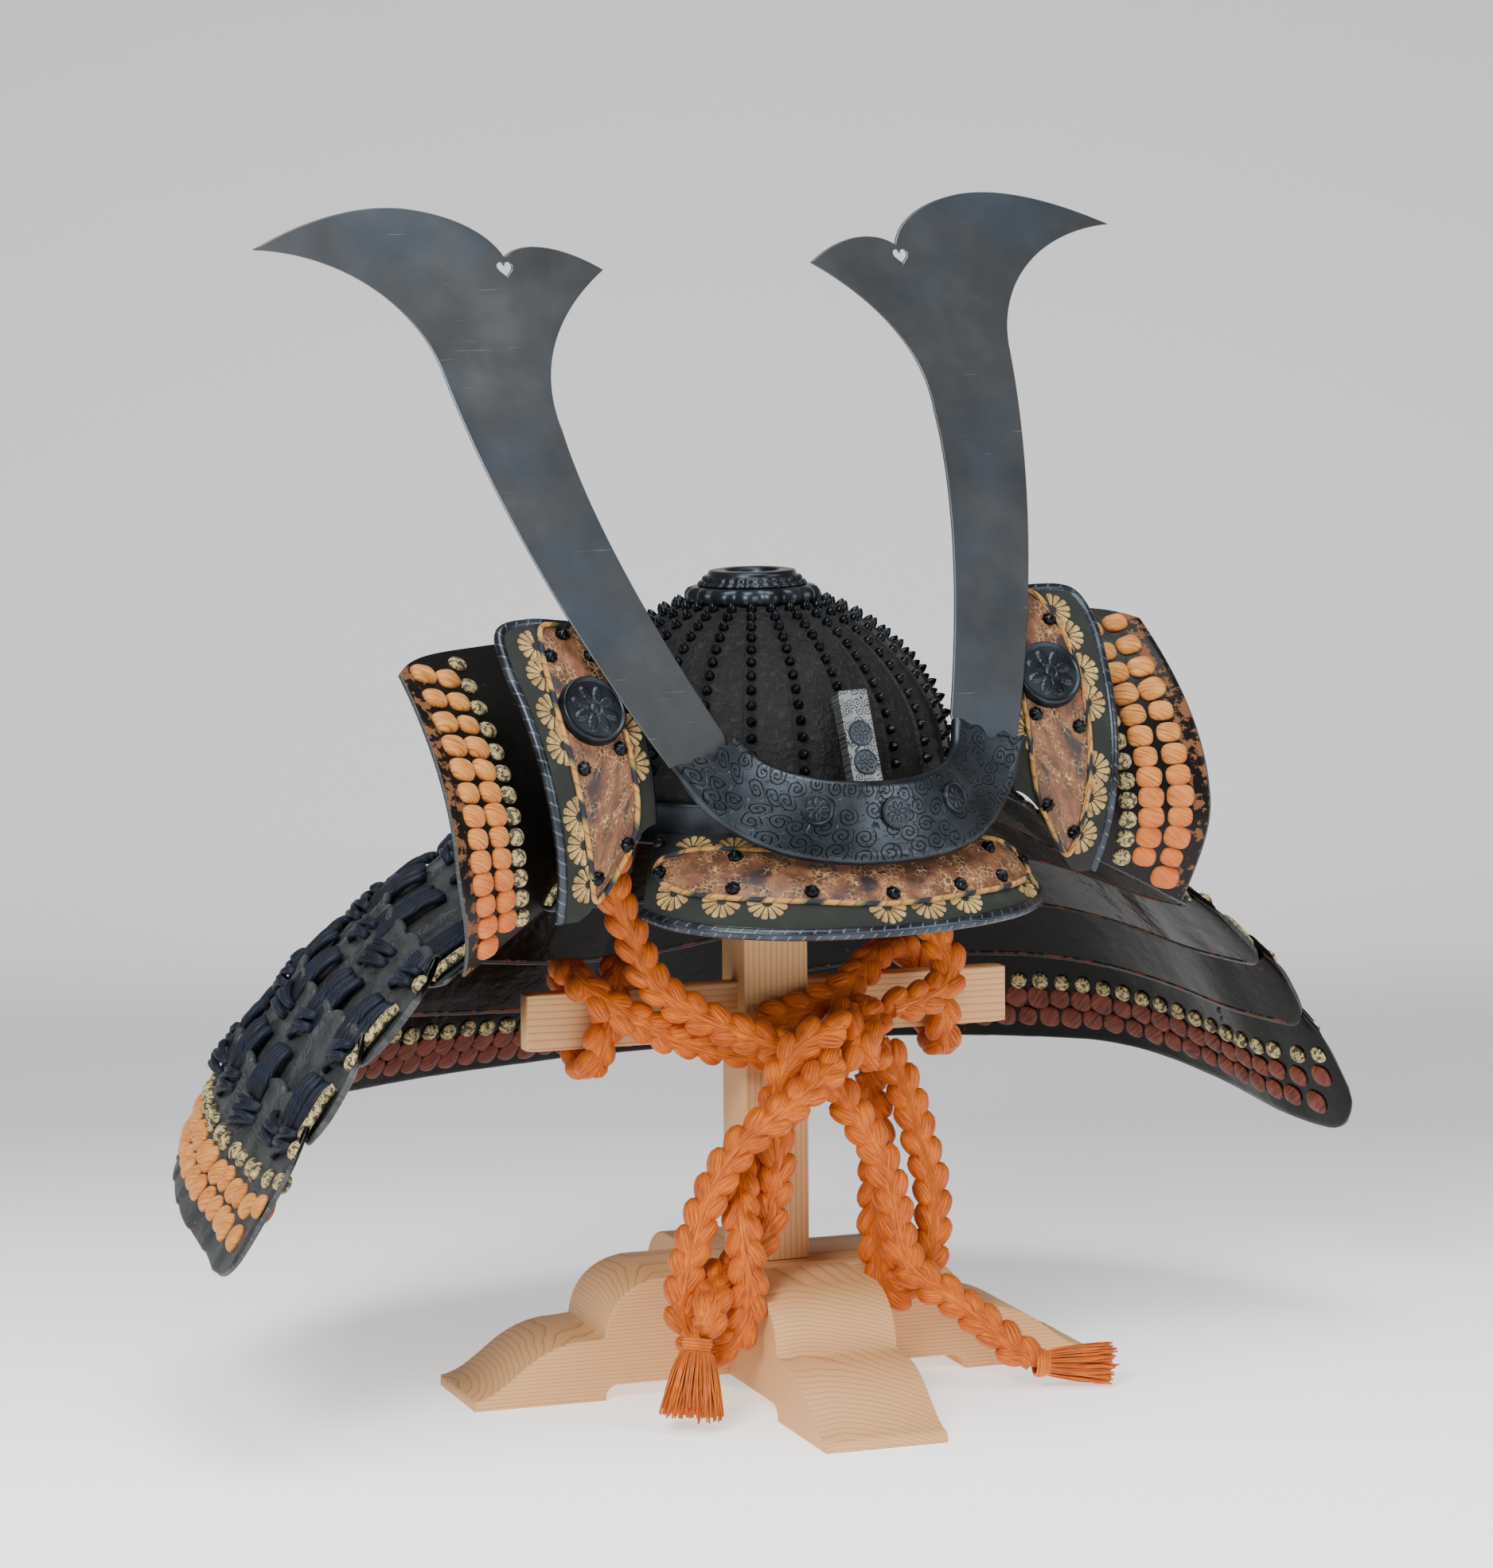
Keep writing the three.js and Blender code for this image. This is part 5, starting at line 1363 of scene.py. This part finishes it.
# %% Lame plates
def lame_grid(high, low, k, m=25, scallop=30.0):
    """Both halves of a lame. Tops rise in scallops, √(1 − (2f − 1)²); each plate lies over the next."""
    high, low = (np.vstack([e[:0:-1] * (-1, 1, 1), e]) for e in (high, low))
    s = np.r_[0, np.cumsum(np.linalg.norm(np.diff(high + low, axis=0) / 2, axis=1))]
    s = abs(s - s[-1] / 2)
    f = np.mod(s, scallop) / scallop
    rise = 5.5 * np.sqrt(np.clip(1 - (2 * f - 1) ** 2, 0, 1)) if k else 0 * f
    width = np.linalg.norm(low - high, axis=1)
    low_cut, high_cut = (radius * (1 - np.sqrt(1 - np.clip(1 - (s.max() - s) / radius, 0, 1) ** 2))
                         for radius in ((36, 12) if k == 4 else (13, 9)))
    v = mix(-rise / width + high_cut / width, 1 - low_cut / width, np.linspace(0, 1, m)[:, None]).T
    G = mix(high[:, None], low[:, None], v[..., None])
    N = normals(G)
    ridge = 2.3 * f[:, None] * smooth((1 - f[:, None]) / 0.08) * (1 - 0.4 * v) if k else 0 * v
    ridge = ridge + 1.2 * np.exp(-((width[:, None] * v + rise[:, None]) / 2.5) ** 2)
    ends = np.clip((abs(np.linspace(-1, 1, len(G))) - 13 / 14) * 14, 0, 1)[:, None]
    if k >= 2:
        G[..., 1] += 14 * ends ** 2 * abs(2 * v - 1) ** 3
    return G, np.maximum(ridge, 0), N


edges = list(lame_edges())
lames = []
for k, (high, low) in enumerate(edges):
    G, ridge, N = lame_grid(high, low, k)
    solid, kinds = slab(G + N * ridge[..., None] / 2, WALL + ridge)
    make(f"lame_{k + 1}", solid, [tooled, gloss, tooled], "black_lacquer", index=kinds,
         replaces=f"neck_lame_{k + 1}")
    total = np.linalg.norm(np.diff(G[:, 12], axis=0), axis=1).sum()
    lames.append((surface(G + N * ridge[..., None]), total, surface(G, -1)))
    if k < 4:
        t = np.linspace(0.02, 0.98, 220)
        make(f"lame_{k + 1}_rubbed_edge", tube(lames[k][2][0](t, np.full(220, 0.965), 0.5), 1.3, 8),
             rubbed, "black_lacquer")
print("lame lengths, mm:", [round(l[1]) for l in lames])


# %% [markdown]
# ### Lacing
# Groups of navy braids carry each lame from the one above, with a short knot over each group, and a
# braid of mixed silk runs down by each corner. A cloth simulation would be slow and hard to steer,
# so each braid is a tube that bulges off the lame in its middle: lift = arch (1 − w⁴).

# %% Lacing
def hanging(surf, t0, v0, v1, radius, arch, spread, n=4, steps=14):
    """n braids side by side down a lame from v0 to v1, bulging off it by arch in the middle."""
    v = np.linspace(v0, v1, steps)
    w = np.linspace(-1, 1, steps)
    parts = []
    for k in range(n):
        off = (k - (n - 1) / 2) * spread
        t = np.full(steps, t0 + off)
        lift = radius + 0.8 + arch * (1 - w ** 4)
        path = surf[0](t, v, lift)
        parts.append(tube(path, radius, 8))
    return join(*parts)


BRAID, ASIDE = (2.7, 4.2), 4.5             # a braid's radius and arch, and from braid to braid, mm
GROUP, FIRST = 46.0, 30.0                  # from group to group, and from a corner to the first, mm


def group_places(total, clear):
    """The middles of the groups along a lame of a length in mm; between the first and the last they are
    GROUP apart, about the middle of the back, and at least clear mm from a corner."""
    count = int(total // GROUP) | 1
    t = 0.5 + (np.arange(count) - (count - 1) / 2) * GROUP / total
    return np.r_[FIRST / total, t[(t > clear / total) & (t < 1 - clear / total)], 1 - FIRST / total]


def ties(name, surf, places, v):
    """A short knot at height v above every group."""
    solid = set_on(twist_pad(24, 15, 5.6), surf, places, np.full(len(places), v), 1.2,
                   turn=rng.normal(0.15, 0.15, len(places)))
    make(name, solid, navy, "orange_silk")


def corner_knots(name, surf, total, v):
    """A small mottled knot 13 mm from each front corner."""
    make(name, set_on(pad_shape(11, 11, 4.5), surf, [13 / total, 1 - 13 / total], [v, v], 1.1), knot_silk,
         "orange_silk")


for k, (surf, total, _) in enumerate(lames[:4]):
    t_all = group_places(total, 62)
    drop = (0.5, 1.02) if k else (0.42, 1.02)
    groups = [hanging(surf, t, *drop, *BRAID, ASIDE / total, n=5) for t in t_all]
    make(f"lame_{k + 1}_lacing", join(*groups), navy, "orange_silk")
    ties(f"lame_{k + 1}_ties", surf, t_all, 0.25 if k else 0.2)
    sides = [hanging(surf, t, *drop, 2.9, 2.6, 4.0 / total, n=1) for t in (15 / total, 1 - 15 / total)]
    make(f"lame_{k + 1}_edge_braid", join(*sides), knot_silk, "orange_silk")
    corner_knots(f"lame_{k + 1}_edge_knots", surf, total, 0.25)

# %% [markdown]
# ### Pads on the lowest lame
# Two staggered columns of pads and one of small knots run along it, outside and inside.

# %% Pads on the lowest lame
surf, total, back = lames[4]
PAD_STEP, KNOT_STEP = 14.4, 14.5           # mm


def row(solid, surf, total, v, start, lift, spin, odd=0, step=PAD_STEP):
    """One row of pads along a lame at height v, from start mm off each front corner."""
    count = int((total - 2 * start) // step)
    t = (start + (np.arange(count) + 0.5 * odd) * (total - 2 * start) / (count - 1 + odd)) / total
    n = len(t)
    return set_on(solid, surf, t, v(t), lift,
                  turn=spin + rng.normal(0, 0.1, n), size=rng.normal(1, 0.04, n))


def level(v_mid, v_end):
    """The rows draw in towards the corners: v goes from v_mid to v_end over the last tenth."""
    return lambda t: mix(v_mid, v_end, smooth((abs(2 * t - 1) - 0.86) / 0.14))


def two_columns(solid, surf, v_low, v_low_end):
    """Two rows of pads, the lower one half a step further on."""
    return join(row(solid, surf, total, level(0.62, 0.60), 22, 1.2, 1.3),
                row(solid, surf, total, level(v_low, v_low_end), 26, 1.2, 1.3, 1))


make("lame_5_pads", two_columns(pads, surf, 0.79, 0.80), pad_pale, "orange_silk")
make("lame_5_knots", row(knots, surf, total, level(0.465, 0.42), 16, 1.2, 1.4), knot_silk, "orange_silk")
# Inside the lowest lame the pads are the same orange silk, painted dark brown-red as shade.
make("lame_5_inner_pads", two_columns(pad_shape(15.4, 13.6, 3.2, 2.8), back, 0.80, 0.80), pad_orange_in_painted_shade,
     "orange_silk")
make("lame_5_inner_knots", row(knots, back, total, level(0.465, 0.42), 16, 1.2, 1.4, step=KNOT_STEP),
     knot_silk, "orange_silk")
ties("lame_5_ties", surf, group_places(total, 40), 0.22)
corner_knots("lame_5_edge_knots", surf, total, 0.22)

# %% [markdown]
# ## Chin cord
# A thick cord plaited of fat strands, 17 mm across. It leaves the helmet on both sides, meets in a
# knot in front of the post, goes twice round the crossbar and ends in a bow with two tasselled ends.
# What shows of the plait is its strands' turns: plump lobes, left and right in turn, along a core.
# The routes are in the stand's drawing, in mm.

# %% Cord routes
CORDS = {
    "chin_cord_left": [(-101, -34, 322), (-105, -36, 306), (-103, -37, 291), (-97, -37, 277),
                       (-91, -37, 262),
                       (-85, -38, 247), (-73, -40, 233), (-58, -42, 223), (-42, -44, 215),
                       (-26, -47, 208), (-13, -49, 203), (0, -51, 201)],
    "chin_cord_right": [(99, -12, 322), (97, -16, 306), (94, -21, 290), (92, -25, 275), (93, -29, 261),
                        (98, -32, 250),
                        (101, -35, 240), (97, -39, 230), (86, -42, 224), (73, -45, 221), (60, -47, 219)],
    "cord_wrap_left": [(25, -33, 199), (15, -33, 195), (0, -33, 192), (-21, -32, 196), (-38, -31, 199),
                       (-54, -31, 204),
                       (-70, -32, 209), (-87, -34, 218), (-101, -36, 225), (-112, -33, 233),
                       (-119, -27, 239), (-121, -18, 243),
                       (-121, -7, 246), (-119, 4, 245), (-117, 12, 238), (-114, 15, 222), (-111, 14, 203),
                       (-110, 8, 191), (-111, -3, 188),
                       (-110, -15, 192), (-107, -19, 204), (-102, -19, 218), (-98, -19, 233),
                       (-94, -13, 244), (-89, -2, 247),
                       (-85, 10, 242), (-83, 15, 226), (-83, 14, 208)],
    "cord_wrap_right": [(-16, -30, 213), (-5, -31, 215), (8, -31, 218), (22, -31, 222), (34, -30, 226),
                        (43, -27, 232),
                        (53, -20, 237), (64, -11, 244), (78, 0, 247), (91, 9, 244), (100, 14, 232),
                        (105, 14, 214), (108, 14, 200),
                        (109, 7, 190), (107, -4, 188), (105, -15, 192), (104, -19, 203), (102, -20, 214)],
    "bow_loop_left": [(18, -74, 195), (7, -78, 189), (-8, -84, 178), (-25, -86.5, 168), (-39, -84.5, 158),
                      (-53, -84, 143),
                      (-64, -85, 125), (-73, -86, 104), (-79, -86, 82), (-81, -85, 65), (-77, -84, 49),
                      (-67, -88, 39), (-57, -94, 41),
                      (-49, -98, 53), (-46, -99, 70), (-46, -96, 89), (-46, -88, 108), (-43, -76, 122),
                      (-36, -62, 133), (-24, -50, 146),
                      (-9, -44, 159), (6, -42, 171)],
    "bow_loop_right": [(56, -39, 198), (61, -42, 190), (67, -45, 177), (73, -48, 158), (77, -51, 140),
                       (82, -53, 119),
                       (83, -55, 94), (79, -57, 71), (71, -57, 57), (61, -53, 54), (54, -49, 63),
                       (51, -47, 81), (52, -44, 104),
                       (54, -40, 126), (55, -35, 149), (54, -31, 165), (51, -28, 179)],
    "cord_end_left": [(22, -72, 213), (12, -71, 212), (1, -69, 207), (-9, -66, 196), (-15, -66, 180),
                      (-18, -66, 162),
                      (-17.5, -68.5, 141), (-20, -68, 120), (-24, -67, 102), (-32, -68, 89),
                      (-45, -73, 81), (-61.5, -85, 76),
                      (-68.5, -102.5, 67), (-76.5, -109.5, 55)],
    "cord_end_right": [(21, -59, 181), (27, -60, 169), (35, -62, 157), (44, -64, 142), (50, -66, 126),
                       (54, -68, 106),
                       (56, -71, 87), (61, -75, 73), (71, -79, 63), (83, -83, 55), (96, -86, 44),
                       (108, -88, 34), (118, -92, 24),
                       (128, -96, 16)],
}
DIAMETER, PITCH = 17.0, 15.0
CORE, BESIDE, WIDE = 0.37, 0.24, 0.78     # core radius, lobe offset and width, as shares of the diameter
LONG, LEAN = 1.32, math.radians(26)       # a lobe's length as a share of the pitch, and its lean
CROSSBAR = np.array([0, -2.5, 216.65])
print(len(CORDS), "stretches, plaited", DIAMETER, "mm across")

# %% [markdown]
# ### The plait
# A square plait shows two columns of plump turns. Sweeping three strands round one another is exact
# but heavy, and the strands cut into each other in tight bends. One drawn-out ellipsoid for each
# turn, on a core, looks the same and bends freely.

# %% The plait
def lobe(length, width, n=10, rings=9):
    """One visible turn of a plaited strand, drawn out along x: r(x) = w/2 · (1 − (2x/l)²)^0.45."""
    q = np.linspace(-0.985, 0.985, rings)[:, None]
    a = np.linspace(0, 2 * np.pi, n, endpoint=False)[None]
    r = width / 2 * (1 - q ** 2) ** 0.45
    P = np.stack(np.broadcast_arrays(length / 2 * q, r * np.cos(a), r * np.sin(a)), -1)
    U = np.stack(np.broadcast_arrays(length / 2 * q, a * width / 2), -1)
    last = (rings - 1) * n + np.arange(n)[None]
    return P.reshape(-1, 3), [grid_faces(rings, n, True),
                              np.vstack([np.arange(n)[None], last[:, ::-1]])], U.reshape(-1, 2)


def plait(path, diameter=DIAMETER, normal=None):
    """A core with plump lobes on it, left and right in turn: lobe k stands at k · PITCH / 2, a quarter of the
    diameter to its side, and leans towards the middle as it goes. normal, a direction or a
    function of the path, says where the face of the plait looks."""
    L = np.linalg.norm(np.diff(path, axis=0), axis=1).sum()
    fine = even(path, max(12, int(L / 1.9)))
    T, N, B = frames_along(fine)
    if normal is not None:
        towards = np.broadcast_to(normal(fine) if callable(normal) else normal, fine.shape)
        B = unit(towards - T * np.sum(T * towards, -1, keepdims=True))
        N = np.cross(B, T)
    count = max(2, int(round(2 * L / PITCH)))
    at = np.linspace(0.25 * PITCH, L - 0.25 * PITCH, count) / L * (len(fine) - 1)
    i = np.round(at).astype(int)
    side = np.where(np.arange(count) % 2, 1.0, -1.0)[:, None]
    X = unit(T[i] * math.cos(LEAN) - N[i] * side * math.sin(LEAN))
    Y = unit(np.cross(B[i], X))
    O = fine[i] + N[i] * side * BESIDE * diameter
    lobes = copies(lobe(LONG * PITCH, WIDE * diameter), O, X, Y, B[i])
    return join(tube(fine, CORE * diameter, 12), lobes)


cords = {}
for name, route in CORDS.items():
    path = catmull(route, 160)
    face = (lambda p: (p - CROSSBAR) * (0, 1, 1)) if "wrap" in name else (-0.3, -1, 0.15)
    cords[name] = make("silk_" + name, plait(path, normal=face), orange, "orange_silk", stand,
                       replaces=name)
    length = np.linalg.norm(np.diff(path, axis=0), axis=1).sum()
    cords[name]["cord_mm"] = length
    print(f"  {name}: {length:.0f} mm")

# %% [markdown]
# ### Knot
# The bow is tied in front of the post. The real knot's run can't be followed by eye, so three
# plaited rings on one another stand for it, which hide where the stretches meet.

# %% Knot
KNOT = np.array([38.0, -50.0, 204.0])
w = np.linspace(0, 2 * np.pi, 80)


def hoop(rx, ry, rz, tilt, lean, where=(0, 0, 0)):
    """Closed ring on an ellipsoid about the knot, tilted about Y and leaned about X."""
    P = np.stack([rx * np.cos(w), ry * np.sin(w), 0 * w], 1)
    c, s, e, f = math.cos(tilt), math.sin(tilt), math.cos(lean), math.sin(lean)
    P = np.stack([P[:, 0], P[:, 1] * e - P[:, 2] * f, P[:, 1] * f + P[:, 2] * e], 1)
    P = np.stack([P[:, 0] * c + P[:, 2] * s, P[:, 1], -P[:, 0] * s + P[:, 2] * c], 1)
    return P * (1, 1, rz / rx) + KNOT + where


hoops = [hoop(17, 19, 17, 0.9, 0.2), hoop(15, 16, 18, -0.7, -0.3, (-2, -3, -3)),
         hoop(13, 14, 16, 1.7, 0.5, (5, 2, 2))]
knot = make("silk_knot", join(*[plait(h, 16.5) for h in hoops]), orange, "orange_silk", stand,
            replaces="cord_knot")


# %% [markdown]
# ### Tassels
# Both ends are bound and cut to a brush of threads. Particles would need a bake, so each thread is
# a thin tube of its own, which leaves the head and spreads as mix(5.5, end, √q) mm, q its place
# from 0 to 1.

# %% Tassels
def tassel(start, to, length=42, end=15.0, threads=300):
    """Head bound with thread, then fine threads spreading in slight waves to a ragged end."""
    start, axis = np.array(start, float), unit(np.array(to, float) - np.array(start, float))
    X = unit(np.cross(axis, [0.2, 1, 0.1]))
    Y = np.cross(axis, X)
    r0, a0 = np.sqrt(rng.uniform(0, 1, threads)), rng.uniform(0, 2 * np.pi, threads)
    q = np.linspace(0, 1, 10)
    L = length - 7 + rng.normal(0, 1.6, threads)
    parts = []
    for r, a, l, b1, b2 in zip(r0, a0, L, rng.normal(0, 0.9, threads), rng.normal(0, 0.9, threads)):
        spread = r * mix(5.5, end, q ** 0.5)
        x = spread * math.cos(a) + b1 * np.sin(q * 5) * q
        y = spread * math.sin(a) + b2 * np.sin(q * 6 + 1) * q
        P = start + axis * (6 + l * q)[:, None] + X * x[:, None] + Y * y[:, None]
        parts.append(tube(P, 0.55, 4))
    wraps = [np.stack([start + axis * h + X * rr * math.cos(c) + Y * rr * math.sin(c)
                       for c in np.linspace(0, 2 * np.pi, 28)])
             for h, rr in ((1.5, 7.0), (3.2, 7.6), (4.9, 7.4), (6.6, 6.8), (8.3, 6.3))]
    return join(*parts, *[tube(p, 1.05, 8) for p in wraps])


bound = silk("orange thread", "#8a3708", "#d0650f", "#ea8e30", 1.0)
left = make("silk_tassel_left", tassel((-80.5, -111, 51), (-88, -119, 8), 44, 18), bound, "orange_silk",
            stand, replaces="tassel_left")
right = make("silk_tassel_right", tassel((128.5, -96.5, 15.2), (175, -103, 13), 45, 12.5), bound,
             "orange_silk", stand, replaces="tassel_right")

# %% [markdown]
# ### What the cord is
# A cord hangs limp. The table gives, for each stretch, its far end, how it lies and the pieces at that end;
# the loop only works out each path and lists the pieces, and does nothing more with them.

# %% Cord facts
FACTS = {"chin_cord_left": ("knot", "hanging", [knot]), "chin_cord_right": ("knot", "hanging", []),
         "cord_wrap_left": ("bare", "taut", []), "cord_wrap_right": ("bare", "taut", []),
         "bow_loop_left": ("knot", "hanging", []), "bow_loop_right": ("knot", "hanging", []),
         "cord_end_left": ("bare", "hanging", [left]), "cord_end_right": ("bare", "loose", [right])}
for name, (far, lay, pieces) in FACTS.items():
    path = stand(catmull(CORDS[name], 120)) / 1000
    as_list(pieces)
print("cord in all, mm:", round(sum(c["cord_mm"] for c in cords.values())))

# %% [markdown]
# ## Room and light
# A museum piece stands on a pale sweep of paper without a corner. A plane and a wall would show a
# line, so one curved sheet runs under and behind. Its colour is painted light: it changes with
# distance and height, as light falls off in a studio, and it glows near the front and in a band
# further back, a painted pool of light.

# %% Backdrop
sweep = [(-2.5, 0.0), (0.9, 0.0), (1.2, 0.0), (1.7, 0.06), (2.1, 0.3), (2.4, 0.9), (2.5, 3.6)]
prof = catmull([(y, z, 0) for y, z in sweep], 60)
x = np.linspace(-3.5, 3.5, 2)
P = np.stack([np.broadcast_to(x[:, None], (2, 60)), np.broadcast_to(prof[:, 0], (2, 60)),
              np.broadcast_to(prof[:, 1], (2, 60))], -1)
mesh = bpy.data.meshes.new("sweep")
mesh.from_pydata(P.reshape(-1, 3).tolist(), [], grid_faces(2, 60)[:, ::-1].tolist())
mesh.polygons.foreach_set("use_smooth", [True] * len(mesh.polygons))
floor = bpy.data.objects.new("sweep", mesh)
floor.rotation_euler = (0, 0, -math.radians(29))
bpy.context.scene.collection.objects.link(floor)
m, t, b = new_material("pale studio paper")
away, high = (node(t, "SeparateXYZ", node(t, "TexCoord", out=3), out=k) for k in (1, 2))
fade = node(t, "Math:MULTIPLY_ADD", high, 0.25, node(t, "MapRange", away, -0.3, 1.5, 0.0, 0.6))
# Painted light: the paper grades from near white at the front to grey high up the back, and its emission
# lights the near floor and a band further back.
paper = node(t, "ValToRGB", fade, stops=[(0.0, "#fbfbfb"), (0.3, "#e4e4e4"), (0.5, "#e8e8e8"),
                                    (0.62, "#fbfbfb"), (0.85, "#e0e0e0"), (1.0, "#8c8c8c")])
painted_glow = node(t, "ValToRGB", fade, stops=[(0.0, 1.0), (0.35, 0.0), (0.5, 0.02), (0.62, 0.15), (0.85, 0.06),
                                        (1.0, 0.0)])
node(t, b, Base_Color=paper, Roughness=0.9, Emission_Color=painted_glow, Emission_Strength=1.0)
mesh.materials.append(m)


print("backdrop of", len(mesh.vertices), "points, turned to face the camera")

# %% [markdown]
# ### Lamps and sky
# One large soft lamp from the upper left models the forms, a weaker one opens the shadows on the
# right, and one from above draws edges. Small lamps would give hard shadows and bright dots in the
# iron. An even sky fills the rest.

# %% Lights
def add_lamp(name, place, aim, size, power):
    """Round soft light of a diameter in metres and a power in watts, turned towards aim."""
    data = bpy.data.lights.new(name, "AREA")
    data.shape, data.size, data.energy = "DISK", size, power
    obj = bpy.data.objects.new(name, data)
    obj.location = place
    obj.rotation_mode = "QUATERNION"
    obj.rotation_quaternion = (Vector(aim) - Vector(place)).to_track_quat("-Z", "Y")
    bpy.context.scene.collection.objects.link(obj)


add_lamp("key", (-1.7, -1.3, 1.7), (0, 0, 0.35), 0.9, 52)
add_lamp("fill", (1.1, -2.1, 1.2), (0, 0, 0.35), 1.1, 22)
add_lamp("top", (-0.2, -0.3, 2.4), (0, -0.1, 0.1), 1.4, 40)
world = bpy.data.worlds.new("studio")
world.use_nodes = True
world.node_tree.nodes["Background"].inputs[0].default_value = rgb("#e6e6e6")
world.node_tree.nodes["Background"].inputs[1].default_value = 0.36
bpy.context.scene.world = world
print("lamps:", [(lamp.name, round(lamp.energy), "W") for lamp in bpy.data.lights])
